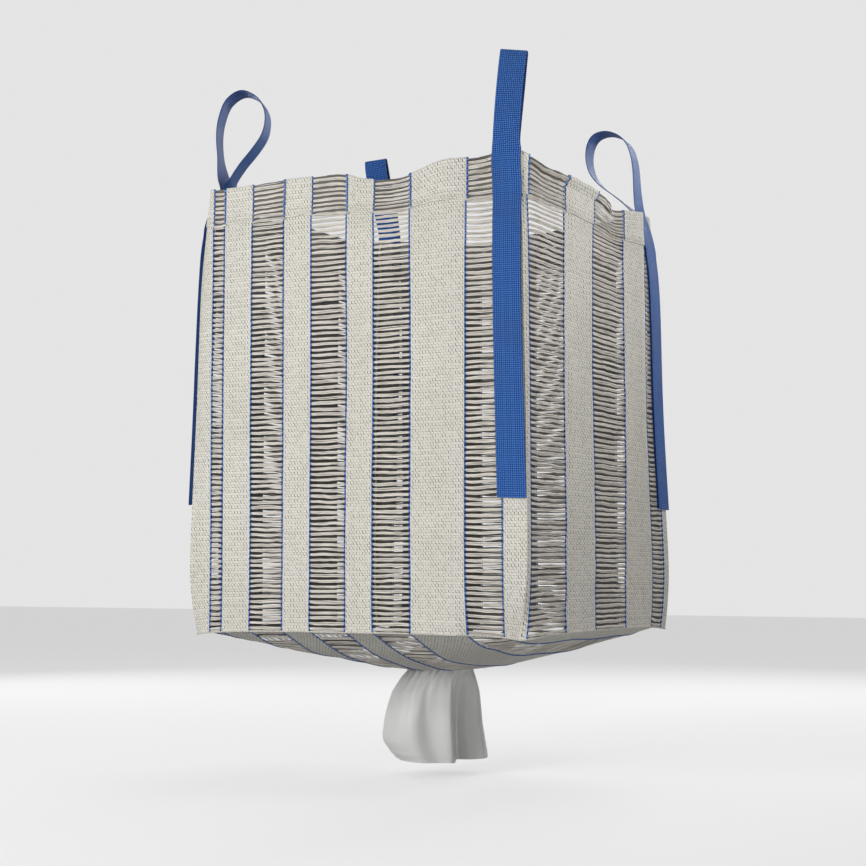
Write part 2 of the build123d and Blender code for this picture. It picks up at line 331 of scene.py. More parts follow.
def wallRelief(wall, along, height):
    # slack and creases of the cloth, outwards
    seed = wallTurns[wall]
    relief = 0.0
    for order, (size, stretch, length) in enumerate(slackLook["waves"], 1):
        relief = relief + size * ripple(seed + order, along, height * stretch, length)
    if wall in ("right", "left"):
        # drag lines that rise from the foot of the near corner
        slant = (along + bag["patternHalfWidth"]) * 0.86 - height * 0.5
        reach = smoothStep(*slackLook["dragHeights"], height) * smoothStep(*slackLook["dragEnds"], along)
        wander = 1.3 * ripple(seed + 4, along, height, 0.16)
        folds = np.sin(slant * math.tau / slackLook["dragPitch"] + wander)
        uneven = 0.6 + 0.4 * ripple(seed + 5, along, height, 0.1)
        relief = relief + slackLook["drag"] * reach * folds * uneven
    if wall == "right":
        # the lip of the rim is turned out from the front corner as far as the dip
        lip = slackLook["lip"] * smoothStep(*slackLook["lipHeights"], height)
        relief = relief + lip * smoothStep(*slackLook["lipEnds"], along)
    return relief * calmAt(along)


def onWall(wall, along, height, off):
    right, out = wallAxes(wall)
    across, reach = planOf(wall, along, height)
    across = across + off * (along / bag["patternHalfWidth"]) ** 15    # layers meet at the corners
    reach = reach + off + wallRelief(wall, along, height)
    z = bag["baseZ"] + height
    z = z + smoothTable(rimLines[wall], along) * smoothStep(bag["rimSlackFrom"], bag["wallHeight"], height)
    z = z + bag["footArch"] * calmAt(along) * smoothStep(bag["footArchHeight"], 0.0, height)
    return stacked(right[0] * across + out[0] * reach, right[1] * across + out[1] * reach, z)


def onBottom(x, y, off):
    # sagging bottom, off downwards
    half = bag["footHalf"]
    far = np.maximum(np.abs(x), np.abs(y)) / half
    near = np.minimum(np.abs(x), np.abs(y)) / half
    power = 2 + 10 * np.clip(far, 0, 1) ** 4
    q = np.clip((np.abs(x) ** power + np.abs(y) ** power) ** (1 / power) / half, 0, 1)
    z = bag["baseZ"] - bag["sag"] * (1 - q ** bag["sagPower"])
    z = z + bag["footArch"] * q ** 4 * np.clip(1 - near ** 4, 0, 1)
    slack = bag["bottomSlack"] * ripple(91, x, y, bag["bottomPitch"])
    z = z + slack * np.clip(1 - q ** 6, 0, 1) * smoothStep(*bag["bottomCalm"], np.hypot(x, y))

    def drift(wall, along, near):
        # how far a wall's foot takes the cloth beside it, along the wall and outwards
        moved, still = planOf(wall, along, 0.0), (planPoint(along, half, half)[0], half)
        return [(place - start) * np.clip(near / half, 0, 1) ** 8 for place, start in zip(moved, still)]

    front, back = drift("front", x, -y), drift("back", -x, y)
    right, left = drift("right", y, x), drift("left", -y, -x)
    widerX = right[1] - left[1] + front[0] - back[0]
    widerY = back[1] - front[1] + right[0] - left[0]
    return stacked(x + widerX, y + widerY, z - off)


def gapsBetween(vents, edge, border):
    # plain bands that are left between vent strips
    edges = [-edge]
    for low, high in vents:
        edges += [low - border, high + border]
    edges.append(edge)
    return list(zip(edges[::2], edges[1::2]))


def calc(tree, operation, *values):
    node = tree.nodes.new("ShaderNodeMath")
    node.operation = operation
    for socket, value in zip(node.inputs, values):
        if isinstance(value, (int, float)):
            socket.default_value = value
        else:
            tree.links.new(value, socket)
    return node.outputs[0]


def fade(tree, value, low, high, start=0.0, end=1.0):
    node = tree.nodes.new("ShaderNodeMapRange")
    node.interpolation_type = "SMOOTHSTEP"
    for name, number in (("From Min", low), ("From Max", high), ("To Min", start), ("To Max", end)):
        node.inputs[name].default_value = number
    tree.links.new(value, node.inputs["Value"])
    return node.outputs["Result"]


def mixed(tree, factor, first, second):
    node = tree.nodes.new("ShaderNodeMix")
    node.data_type = "RGBA"
    for socket, value in ((node.inputs[0], factor), (node.inputs[6], first), (node.inputs[7], second)):
        if isinstance(value, (int, float)):
            socket.default_value = value
        elif isinstance(value, tuple):
            socket.default_value = (*value, 1)
        else:
            tree.links.new(value, socket)
    return node.outputs[2]


def newGroup(name, inputs, outputs):
    group = bpy.data.node_groups.new(name, "ShaderNodeTree")
    for label, kind, value in inputs:
        socket = group.interface.new_socket(name=label, in_out="INPUT", socket_type="NodeSocket" + kind)
        if value is not None:
            socket.default_value = value
    for label, kind in outputs:
        group.interface.new_socket(name=label, in_out="OUTPUT", socket_type="NodeSocket" + kind)
    return group, group.nodes.new("NodeGroupInput"), group.nodes.new("NodeGroupOutput")


def weaveGroup():
    # flat tapes over and under: relief, dashes where they dive (the finishes paint them dark as shade in the
    # pinholes), and each tape's own tone
    group, entry, leave = newGroup(
        "tapeWeave",
        (("Vector", "Vector", None), ("Warp Pitch", "Float", 0.0045), ("Weft Pitch", "Float", 0.00675),
         ("Upright Dash", "Float", 1.0), ("Level Dash", "Float", 0.4)),
        (("Height", "Float"), ("Dash", "Float"), ("Shade", "Float")),
    )
    step = partial(calc, group)

    def randomAt(value):
        noise = group.nodes.new("ShaderNodeTexWhiteNoise")
        noise.noise_dimensions = "1D"
        group.links.new(value, noise.inputs["W"])
        return noise.outputs["Value"]

    split = group.nodes.new("ShaderNodeSeparateXYZ")
    group.links.new(entry.outputs["Vector"], split.inputs[0])
    u = step("DIVIDE", split.outputs[0], entry.outputs["Warp Pitch"])
    v = step("DIVIDE", split.outputs[1], entry.outputs["Weft Pitch"])
    fu, fv = step("FRACT", u), step("FRACT", v)
    iu, iv = step("FLOOR", u), step("FLOOR", v)
    parity = step("FLOORED_MODULO", step("ADD", iu, iv), 2.0)
    arcU = step("SINE", step("MULTIPLY", fu, math.pi))
    arcV = step("SINE", step("MULTIPLY", fv, math.pi))
    edgeU = step("MINIMUM", step("MULTIPLY", arcU, 3.0), 1.0)
    edgeV = step("MINIMUM", step("MULTIPLY", arcV, 3.0), 1.0)
    warpOver = step("MULTIPLY", arcV, edgeU)
    weftOver = step("MULTIPLY", arcU, edgeV)
    turned = step("SUBTRACT", weftOver, warpOver)
    group.links.new(step("MULTIPLY_ADD", turned, parity, warpOver), leave.inputs["Height"])

    def dash(across, length, width):
        # a slit on every second line and every second row, some fainter than others; the finishes paint it
        # dark as shade
        shifted = step("ADD", across, 0.5)
        line = step("ABSOLUTE", step("SUBTRACT", step("FRACT", shifted), 0.5))
        line = fade(group, line, width, width * 0.4)
        rowOf, columnOf = step("FLOOR", length), step("FLOOR", shifted)
        even = [step("FLOORED_MODULO", part, 2.0) for part in (rowOf, columnOf)]
        order = step("MULTIPLY_ADD", step("MULTIPLY", even[0], even[1]), 0.4, 0.6)
        same = step("SUBTRACT", 1.0, step("ABSOLUTE", step("SUBTRACT", even[0], even[1])))
        faint = fade(group, randomAt(step("MULTIPLY_ADD", rowOf, 17.0, columnOf)), 0.0, 1.0, 0.35, 1.3)
        order = step("MULTIPLY", step("MULTIPLY", order, same), faint)
        run = step("ABSOLUTE", step("SUBTRACT", step("FRACT", length), 0.5))
        run = fade(group, run, 0.46, 0.30)
        return step("MULTIPLY", step("MULTIPLY", line, order), run)

    upright = step("MULTIPLY", dash(u, v, 0.25), entry.outputs["Upright Dash"])
    level = step("MULTIPLY", dash(v, u, 0.13), entry.outputs["Level Dash"])
    group.links.new(step("MAXIMUM", upright, level), leave.inputs["Dash"])
    shades = randomAt(iu), randomAt(iv)
    shade = step("MULTIPLY_ADD", step("SUBTRACT", shades[1], shades[0]), parity, shades[0])
    group.links.new(shade, leave.inputs["Shade"])
    return group


def soilGroup():
    # broad, soft handling marks
    group, entry, leave = newGroup(
        "handling",
        (("Vector", "Vector", None), ("Size", "Float", 6.0)),
        (("Marks", "Float"), ("Fibres", "Float")),
    )
    broad = group.nodes.new("ShaderNodeTexNoise")
    broad.inputs["Detail"].default_value = 4
    broad.inputs["Roughness"].default_value = 0.6
    group.links.new(entry.outputs["Vector"], broad.inputs["Vector"])
    group.links.new(entry.outputs["Size"], broad.inputs["Scale"])
    group.links.new(fade(group, broad.outputs["Fac"], 0.38, 0.72), leave.inputs["Marks"])
    fine = group.nodes.new("ShaderNodeTexNoise")
    fine.inputs["Detail"].default_value = 3
    fine.inputs["Scale"].default_value = 900
    group.links.new(entry.outputs["Vector"], fine.inputs["Vector"])
    group.links.new(fine.outputs["Fac"], leave.inputs["Fibres"])
    return group


weaveNodes = weaveGroup()
soilNodes = soilGroup()


def newMaterial(name, roughness=0.6, sheen=0.0, specular=0.15):
    material = bpy.data.materials.new(name)
    material.use_nodes = True
    tree = material.node_tree
    tree.nodes.clear()
    shader = tree.nodes.new("ShaderNodeBsdfPrincipled")
    shader.inputs["Roughness"].default_value = roughness    # most finishes vary it with their pattern
    shader.inputs["Sheen Weight"].default_value = sheen
    shader.inputs["Specular IOR Level"].default_value = specular
    target = tree.nodes.new("ShaderNodeOutputMaterial")
    tree.links.new(shader.outputs[0], target.inputs["Surface"])
    return material, tree, shader


def placeGroup(tree, group, vector, **values):
    node = tree.nodes.new("ShaderNodeGroup")
    node.node_tree = group
    tree.links.new(vector, node.inputs["Vector"])
    for name, value in values.items():
        node.inputs[name].default_value = value
    return node


def ownMap(tree):
    node = tree.nodes.new("ShaderNodeUVMap")
    node.uv_map = weaveMap
    return node.outputs[0]


def objectPlace(tree):
    return tree.nodes.new("ShaderNodeTexCoord").outputs["Object"]


def addBump(tree, shader, height, distance):
    bump = tree.nodes.new("ShaderNodeBump")
    bump.inputs["Distance"].default_value = distance
    tree.links.new(height, bump.inputs["Height"])
    tree.links.new(bump.outputs[0], shader.inputs["Normal"])


def placeWeave(tree, look):
    return placeGroup(tree, weaveNodes, ownMap(tree), **{
        "Warp Pitch": look["warpPitch"], "Weft Pitch": look["weftPitch"],
        "Upright Dash": look["uprightDash"], "Level Dash": look["levelDash"],
    })


def placeSoil(tree, look):
    return placeGroup(tree, soilNodes, objectPlace(tree), Size=look["soilSize"])


def soiled(tree, soil, color, look):
    return mixed(tree, calc(tree, "MULTIPLY", soil.outputs["Marks"], look["soil"]), color, look["soilColour"])


def wovenMaterial(name, look):
    material, tree, shader = newMaterial(name, look["roughness"], look["sheen"])
    weave, soil = placeWeave(tree, look), placeSoil(tree, look)
    color = mixed(tree, weave.outputs["Shade"], look["colour"], look["otherTape"])
    color = soiled(tree, soil, color, look)
    # painted shade: near-black in the hollows of the weave and in the pinhole dashes between tapes
    hollowShade = fade(tree, weave.outputs["Height"], 0.5, 0.0, 0.0, look["hollowShade"])
    dark = calc(tree, "MAXIMUM", calc(tree, "MULTIPLY", weave.outputs["Dash"], look["dashDepth"]), hollowShade)
    color = mixed(tree, dark, color, look["dashShadeColour"])
    tree.links.new(color, shader.inputs["Base Color"])
    rough = calc(tree, "MULTIPLY_ADD", soil.outputs["Fibres"], 0.25, look["roughness"] - 0.12)
    tree.links.new(rough, shader.inputs["Roughness"])
    relief = calc(tree, "SUBTRACT", weave.outputs["Height"], weave.outputs["Dash"])
    relief = calc(tree, "MULTIPLY_ADD", soil.outputs["Fibres"], 0.25, relief)
    addBump(tree, shader, relief, look["relief"])
    return material


wovenLook = {
    "colour": (0.74, 0.72, 0.655),
    "otherTape": (0.69, 0.665, 0.60),
    "soilColour": (0.50, 0.47, 0.40),
    # painted shade for the pinholes and the hollows of the weave
    "dashShadeColour": (0.055, 0.048, 0.035),
    "dashDepth": 1.0,
    "hollowShade": 0.36,
    "warpPitch": 0.0045,
    "weftPitch": 0.00675,
    "uprightDash": 1.0,
    "levelDash": 0.95,
    "soilSize": 5.0,
    "soil": 0.16,
    "relief": 0.0006,
    "roughness": 0.62,
    "sheen": 0.05,
}
wovenCloth = wovenMaterial("woven_cloth", wovenLook)
sideCloth = wovenMaterial("side_cloth", {**wovenLook, "warpPitch": 0.0085})    # wider tapes on the side walls
# painted shade: the inner faces of the walls and bottom get a dark cloth colour for the shade inside the bag
insideShadeLook = {**wovenLook, "colour": (0.25, 0.24, 0.215), "otherTape": (0.215, 0.207, 0.185), "soil": 0.3}
wovenInsideShade = wovenMaterial("woven_inside_painted_shade", insideShadeLook)
bottomCloth = wovenMaterial("bottom_cloth", {
    **wovenLook,
    "colour": (0.74, 0.73, 0.67),
    "otherTape": (0.64, 0.63, 0.57),
    "soil": 0.22,
    "levelDash": 0.7,
})
hemLook = {**wovenLook, "colour": (0.75, 0.73, 0.665), "otherTape": (0.70, 0.68, 0.61)}
hemCloth = wovenMaterial("hem_cloth", hemLook)
sideHemCloth = wovenMaterial("side_hem_cloth", {**hemLook, "warpPitch": 0.0085})
webbingLook = {
    "colour": (0.009, 0.059, 0.26),
    "otherTape": (0.014, 0.077, 0.31),
    # painted highlight for the crowns of the weave and painted shade for its hollows
    "crownHighlightColour": (0.08, 0.23, 0.60),
    "hollowShadeColour": (0.003, 0.018, 0.10),
    "soilColour": (0.04, 0.07, 0.15),
    "soil": 0.25,
    "soilSize": 9.0,
    "warpPitch": 0.0050,
    "weftPitch": 0.0052,
    "uprightDash": 1.0,
    "levelDash": 1.0,
    "relief": 0.0009,
    "specular": 0.12,
}


def webbingMaterial(name, look):
    material, tree, shader = newMaterial(name, specular=look["specular"])
    weave, soil = placeWeave(tree, look), placeSoil(tree, look)
    color = mixed(tree, weave.outputs["Shade"], look["colour"], look["otherTape"])
    # painted highlight on the crowns of the weave, and painted shade in its hollows below
    crown = fade(tree, weave.outputs["Height"], 0.72, 0.98, 0.0, 0.9)
    color = mixed(tree, crown, color, look["crownHighlightColour"])
    hollowShade = fade(tree, weave.outputs["Height"], 0.45, 0.05, 0.0, 0.85)
    color = mixed(tree, hollowShade, color, look["hollowShadeColour"])
    color = soiled(tree, soil, color, look)
    tree.links.new(color, shader.inputs["Base Color"])
    tree.links.new(calc(tree, "MULTIPLY_ADD", soil.outputs["Fibres"], 0.3, 0.4), shader.inputs["Roughness"])
    addBump(tree, shader, weave.outputs["Height"], look["relief"])
    return material


webbingCloth = webbingMaterial("webbing", webbingLook)


tapeLook = {
    "colour": (0.87, 0.835, 0.77),
    "streakColour": (0.64, 0.59, 0.52),
    "creaseShadeColour": (0.12, 0.088, 0.058),
    "soilColour": (0.45, 0.40, 0.33),
    "innerShadeColour": (0.055, 0.049, 0.040),
    "inner": 0.62,              # how far the inner faces go to the painted shade colour
    "streaks": (18, 1400, 1),
    "soil": 0.12,
    "soilSize": 8.0,
    "relief": 0.0005,
}
cordLook = {"sheen": 0.1, "specular": 0.2, "plyPitch": 0.0022, "plyGrooveShade": 0.45, "relief": 0.0003}
threadLook = {"sheen": 0.1, "specular": 0.2, "twists": 260, "unevenness": 1.5, "relief": 0.0002}


def ventMaterial(name, shade, look):
    # flat tapes with painted shade along their creases; their inner faces, and the ones a fold covers, are
    # painted dark as shade
    material, tree, shader = newMaterial(name)
    stretch = tree.nodes.new("ShaderNodeMapping")
    stretch.inputs["Scale"].default_value = look["streaks"]
    tree.links.new(ownMap(tree), stretch.inputs["Vector"])
    streaks = tree.nodes.new("ShaderNodeTexNoise")
    streaks.inputs["Scale"].default_value = 1.0
    streaks.inputs["Detail"].default_value = 3
    tree.links.new(stretch.outputs[0], streaks.inputs["Vector"])
    soil = placeSoil(tree, look)
    color = mixed(tree, streaks.outputs["Fac"], look["colour"], look["streakColour"])
    # painted shade along the creases of the tapes
    creaseShade = fade(tree, streaks.outputs["Fac"], 0.53, 0.66, 0.0, 0.85)
    color = mixed(tree, creaseShade, color, look["creaseShadeColour"])
    color = soiled(tree, soil, color, look)
    level, facing = tree.nodes.new("ShaderNodeVectorMath"), tree.nodes.new("ShaderNodeVectorMath")
    level.operation, facing.operation = "MULTIPLY", "DOT_PRODUCT"
    level.inputs[1].default_value = (1, 1, 0)
    tree.links.new(objectPlace(tree), level.inputs[0])
    tree.links.new(level.outputs[0], facing.inputs[0])
    tree.links.new(tree.nodes.new("ShaderNodeNewGeometry").outputs["Normal"], facing.inputs[1])
    # painted shade on faces that turn in towards the bag's axis
    inner = fade(tree, facing.outputs["Value"], -0.02, -0.16, shade, max(shade, look["inner"]))
    color = mixed(tree, inner, color, look["innerShadeColour"])
    tree.links.new(color, shader.inputs["Base Color"])
    tree.links.new(fade(tree, streaks.outputs["Fac"], 0.3, 0.7, 0.42, 0.62), shader.inputs["Roughness"])
    addBump(tree, shader, streaks.outputs["Fac"], look["relief"])
    return material


def cordMaterial(name, dark, highlightColour, pitch, share):
    # painted highlight: lighter where the pair is spread over a bundle of tapes, dark where it crosses;
    # painted shade in the grooves between the plies
    look = cordLook
    material, tree, shader = newMaterial(name, sheen=look["sheen"], specular=look["specular"])
    split = tree.nodes.new("ShaderNodeSeparateXYZ")
    tree.links.new(ownMap(tree), split.inputs[0])
    turn = calc(tree, "FRACT", calc(tree, "DIVIDE", split.outputs[1], pitch))
    near = calc(tree, "ABSOLUTE", calc(tree, "SUBTRACT", turn, 0.5))
    glint = fade(tree, near, share, share * 0.4)
    ply = calc(tree, "SINE", calc(tree, "MULTIPLY", split.outputs[1], math.tau / look["plyPitch"]))
    color = mixed(tree, glint, dark, highlightColour)
    grooveShade = tuple(look["plyGrooveShade"] * part for part in dark)
    color = mixed(tree, fade(tree, ply, 0.2, 1.0, 0.0, 0.35), color, grooveShade)
    tree.links.new(color, shader.inputs["Base Color"])
    tree.links.new(fade(tree, ply, -1.0, 1.0, 0.4, 0.65), shader.inputs["Roughness"])
    addBump(tree, shader, ply, look["relief"])
    return material


satinLook = {
    "warpPitch": 0.0011,
    "weftPitch": 0.0011,
    "uprightDash": 0.3,
    "levelDash": 0.3,
    "soil": 0.25,
    "soilSize": 7.0,
    "sheen": 0.2,
    "specular": 0.35,
    "relief": 0.00006,
}


def satinMaterial(name, colour, soilColour):
    # close smooth cloth of the spout, with a faint fine weave
    look = {**satinLook, "soilColour": soilColour}
    material, tree, shader = newMaterial(name, sheen=look["sheen"], specular=look["specular"])
    weave, soil = placeWeave(tree, look), placeSoil(tree, look)
    color = soiled(tree, soil, colour, look)
    # painted shade: the pinholes of the faint weave are darkened towards the soil colour
    color = mixed(tree, calc(tree, "MULTIPLY", weave.outputs["Dash"], 0.3), color, soilColour)
    tree.links.new(color, shader.inputs["Base Color"])
    tree.links.new(calc(tree, "MULTIPLY_ADD", soil.outputs["Marks"], 0.12, 0.42), shader.inputs["Roughness"])
    addBump(tree, shader, weave.outputs["Height"], look["relief"])
    return material


def threadMaterial(name, colour, grooveShade):
    look = threadLook
    material, tree, shader = newMaterial(name, sheen=look["sheen"], specular=look["specular"])
    twist = tree.nodes.new("ShaderNodeTexWave")
    twist.bands_direction = "DIAGONAL"
    twist.inputs["Scale"].default_value = look["twists"]
    twist.inputs["Distortion"].default_value = look["unevenness"]
    tree.links.new(objectPlace(tree), twist.inputs["Vector"])
    # painted shade in the grooves of the twist
    tree.links.new(mixed(tree, twist.outputs["Fac"], grooveShade, colour), shader.inputs["Base Color"])
    tree.links.new(fade(tree, twist.outputs["Fac"], 0.0, 1.0, 0.7, 0.45), shader.inputs["Roughness"])
    addBump(tree, shader, twist.outputs["Fac"], look["relief"])
    return material


ventTapes = ventMaterial("vent_tapes", 0.0, tapeLook)
# painted shade: the tapes under the hem are darkened all over
coveredTapesShaded = ventMaterial("vent_tapes_under_hem_painted_shade", 0.8, tapeLook)
lenoThread = cordMaterial("leno_thread", (0.012, 0.07, 0.30), (0.20, 0.40, 0.82), 0.0135, 0.24)
spoutCloth = satinMaterial("spout_cloth", (0.60, 0.60, 0.595), (0.50, 0.50, 0.495))
spoutInner = satinMaterial("spout_inner_cloth", (0.62, 0.62, 0.61), (0.50, 0.50, 0.49))
whiteThread = threadMaterial("white_thread", (0.74, 0.73, 0.69), (0.42, 0.41, 0.38))
blueThread = threadMaterial("blue_thread", (0.10, 0.24, 0.60), (0.02, 0.07, 0.26))
tieCord = threadMaterial("tie_cord", (0.70, 0.69, 0.65), (0.36, 0.35, 0.32))
print("finishes:", len(bpy.data.materials))

# Walls
bandLook = {
    "border": 0.005,      # width of the corded border on each side of a vent strip
    "cell": 0.011,        # size of the mesh faces
    "hemHeight": 0.105,
    "hemShift": 0.0045,   # how far the folded hem's pattern stands beside the wall's
    "hemOff": 0.0024,
    "hemCell": 0.006,
    "hemThickness": 0.0010,
    "loose": (1.095, 1.055),    # the hem comes away from the wall between these heights, downwards
    "pucker": (0.0011, 0.034),    # size and length of its waves out of the wall
    "slump": (0.0016, 0.055),     # and up and down
    "stand": 0.0006,
    "roll": 0.0016,               # of the rim over to the inside
    "rollFrom": 0.9,
}
ventLook = {
    "rowPitch": 0.0135,
    "tapeWidth": 0.0037,
    "tapeThickness": 0.0007,
    "pinch": 0.0016,      # spacing of the tapes at the borders
    "fan": 0.0024,        # and in the middle of the strip
    "wander": 0.0022,
    "wanderPitch": (0.075, 0.035),
    "droop": 0.0008,
    "rises": (0.0007, 0.00045),    # how unevenly bundles and single tapes lie, up and down
    "tilts": (0.0006, 0.0004),     # and from end to end
    "twists": (0.25, 0.5),
    "layer": 0.0003,
    "depth": 0.0007,      # behind the face of the cloth
    "overlap": 0.007,
    "shortest": 0.008,
    "slack": 1.6,         # flat width of the strips against the openings they fill
    "fullness": {"front": 1.0, "right": 1.0, "back": 1.55, "left": 1.55},    # some walls' bundles lie looser
    "hemFullness": 0.92,
}
lenoLook = {
    "radius": 0.00125,
    "girth": 0.008,
    "spread": 0.0014,
    "depth": 0.0010,
    "stepsPerRow": 4,
    "sides": 5,
}
hemStitchLook = {
    "levels": (0.084, 0.096),    # below the rim
    "pitch": 0.009,
    "reach": 0.455,
    "webbing": (0.366, 0.450),   # the webbing covers this stretch
    "off": 0.0042,
    "size": (0.0013, 0.0055, 0.0011),    # width, length and thickness of a stitch
}


def tapeSpans(strips, rows, tapes, mouth):
    # one column of (low end, high end, level, order in its bundle) for each tape; none crosses the mouth
    lows, highs, levels, orders = [], [], [], []
    for low, high in strips:
        for level in rows:
            spanLow, spanHigh = low - ventLook["overlap"], high + ventLook["overlap"]
            if mouth and abs(level) < mouth:
                chord = math.sqrt(mouth ** 2 - level ** 2)
                if low < 0 and high > -chord:
                    spanHigh = min(spanHigh, -chord)
                if high > 0 and low < chord:
                    spanLow = max(spanLow, chord)
                if spanHigh - spanLow < ventLook["shortest"]:
                    continue
            for order in range(tapes):
                lows.append(spanLow)
                highs.append(spanHigh)
                levels.append(level)
                orders.append(order - (tapes - 1) / 2)
    return [np.array(part)[:, None] for part in (lows, highs, levels, orders)]


def tapeRows(seed, strips, rows, place, fullness, tapes=3, mouth=None):
    # bundles of flat tapes across each strip, drawn together at its borders
    draw = np.random.default_rng(seed)
    lows, highs, levels, orders = tapeSpans(strips, rows, tapes, mouth)
    count = len(lows)
    widest = max(high - low for low, high in strips)
    mesh = repeatedMesh(rolledWork(14 if widest > 0.15 else 10, 4), count)
    spots = readVerts(mesh).reshape(count, -1, 3)
    t = spots[:, :, 0]
    middle = np.sin(math.pi * t) ** 0.6
    bundle = np.repeat(draw.normal(0, 1, (count // tapes + 1, 3)), tapes, axis=0)[:count]
    own = draw.normal(0, 1, (count, 3))
    along = lows + (highs - lows) * t
    centre = levels + orders * fullness * (ventLook["pinch"] + (ventLook["fan"] - ventLook["pinch"]) * middle)
    longer, shorter = ventLook["wanderPitch"]
    wander = 0.5 * ripple(seed + 8, along * 1.4, levels * 2.2, shorter)
    wander = ripple(seed + 7, along, levels, longer) + wander
    centre = centre + ventLook["wander"] * 0.5 * wander * middle
    (rise, ownRise), (tilt, ownTilt) = ventLook["rises"], ventLook["tilts"]
    turn, ownTurn = ventLook["twists"]
    centre = centre + middle * (rise * bundle[:, :1] + ownRise * own[:, :1]) - ventLook["droop"] * middle
    centre = centre + tilt * bundle[:, 1:2] * (t - 0.5) + ownTilt * own[:, 1:2] * (t - 0.5)
    twist = turn * own[:, 2:3] + ownTurn * own[:, 1:2] * (t - 0.5)
    width = ventLook["tapeWidth"] * (0.86 + 0.14 * middle)
    flat = spots[:, :, 1] * width
    thick = spots[:, :, 2] * ventLook["tapeThickness"]
    height = centre + flat * np.cos(twist) - thick * np.sin(twist)
    lift = flat * np.sin(twist) + thick * np.cos(twist)
    lift = lift + orders * ventLook["layer"] + 0.0012 * own[:, :1] * 0.3 * middle
    writeVerts(mesh, place(along.ravel(), height.ravel(), lift.ravel() - ventLook["depth"]))
    corners = readMap(mesh).reshape(count, -1, 2)
    mapped = np.stack([
        np.broadcast_to(lows + (highs - lows) * corners[:, :, 0], corners.shape[:2]),
        np.broadcast_to(levels + orders * 0.02 + corners[:, :, 1] * 0.009, corners.shape[:2]),
    ], axis=-1)
    writeMap(mesh, mapped.reshape(-1, 2))
    area = float(((highs - lows) * ventLook["tapeWidth"] * 1.05).sum())
    return mesh, area


def lenoLines(lines, place):
    # pairs of threads that twist round each bundle; a line is (centre, low, high)
    meshes = []
    for centre, low, high in lines:
        steps = max(4, round((high - low) / ventLook["rowPitch"] * lenoLook["stepsPerRow"]))
        for side in (0, math.pi):
            mesh = toMesh(rolledWork(steps, lenoLook["sides"]))
            spots = readVerts(mesh)
            level = low + (high - low) * spots[:, 0]
            turn = math.pi * level / ventLook["rowPitch"] + side
            along = centre + lenoLook["spread"] * np.sin(turn) - spots[:, 1] * 2 * lenoLook["radius"]
            off = lenoLook["depth"] * np.cos(turn) + spots[:, 2] * 2 * lenoLook["radius"]
            writeVerts(mesh, place(along, level, off))
            corners = readMap(mesh)
            writeMap(mesh, stacked(corners[:, 1] * lenoLook["girth"], low + (high - low) * corners[:, 0]))
            meshes.append(mesh)
    return meshes


def stitchLine(wall, centres, ahead, width, length, thickness):
    # short lens-shaped stitches at these places of a wall, each towards the place ahead of it
    count = len(centres)
    directions = (ahead - centres) / np.linalg.norm(ahead - centres, axis=1)[:, None]
    outs = np.tile(wallAxes(wall)[1], (count, 1))
    mesh = repeatedMesh(rolledWork(4, 6), count)
    spots = readVerts(mesh).reshape(count, -1, 3)
    t = spots[:, :, :1]
    body = np.sin(math.pi * (0.08 + 0.84 * t)) ** 0.5
    sides = np.cross(outs, directions)
    place = centres[:, None] + directions[:, None] * (t - 0.5) * length
    place = place + sides[:, None] * spots[:, :, 1:2] * width * body
    place = place + outs[:, None] * (spots[:, :, 2:3] * thickness * body)
    writeVerts(mesh, place.reshape(-1, 3))
    return mesh


def hemStitches(wall, level):
    look = hemStitchLook
    along = np.arange(-look["reach"], look["reach"] + 0.001, look["pitch"])
    along = along[(along < look["webbing"][0]) | (along > look["webbing"][1])]
    levels = np.full_like(along, level)
    centres, ahead = (onWall(wall, along + step, levels, look["off"]) for step in (0, 0.002))
    return stitchLine(wall, centres, ahead, *look["size"])


wallTop = bag["wallHeight"]
hemFoot = wallTop - bandLook["hemHeight"]
wallWidth = 2 * bag["patternHalfWidth"]
wallGaps = {wall: gapsBetween(wallVents[wall], wallWidth / 2, bandLook["border"]) for wall in wallTurns}
rowsUp = np.arange(0.0068, wallTop - 0.003, ventLook["rowPitch"])


def onHem(wall, along, level, off):
    # the hem stands on the wall's cloth and puckers along its lower edge
    loose = smoothStep(*bandLook["loose"], level)
    (out, outPitch), (down, downPitch) = bandLook["pucker"], bandLook["slump"]
    pucker = out * ripple(wallTurns[wall] + 31, along, level * 0.4, outPitch) * loose
    pucker = pucker + bandLook["stand"] * loose
    slump = down * ripple(wallTurns[wall] + 32, along, level * 0.2, downPitch) * loose
    return onWall(wall, along, level + slump, off + bandLook["hemOff"] + pucker * calmAt(along))


def makeBands(wall):
    bands = joinedPiece(f"{wall}_bands", [sheetMesh(
        max(2, round((right - left) / bandLook["cell"])), round(wallTop / bandLook["cell"]),
        lambda u, v: onWall(wall, left + (right - left) * u, wallTop * v, 0.0),
        lambda u, v: (left + (right - left) * u, wallTop * v),
    ) for left, right in wallGaps[wall]])
    # the inner faces take the finish with painted shade
    for material in (wovenCloth if wall in ("front", "back") else sideCloth, wovenInsideShade):
        bands.data.materials.append(material)
    thicken(bands, bag["clothThickness"], innerSlot=1)
    dress(bands, wovenCloth, [f"{wall}_panel"])
    return bands


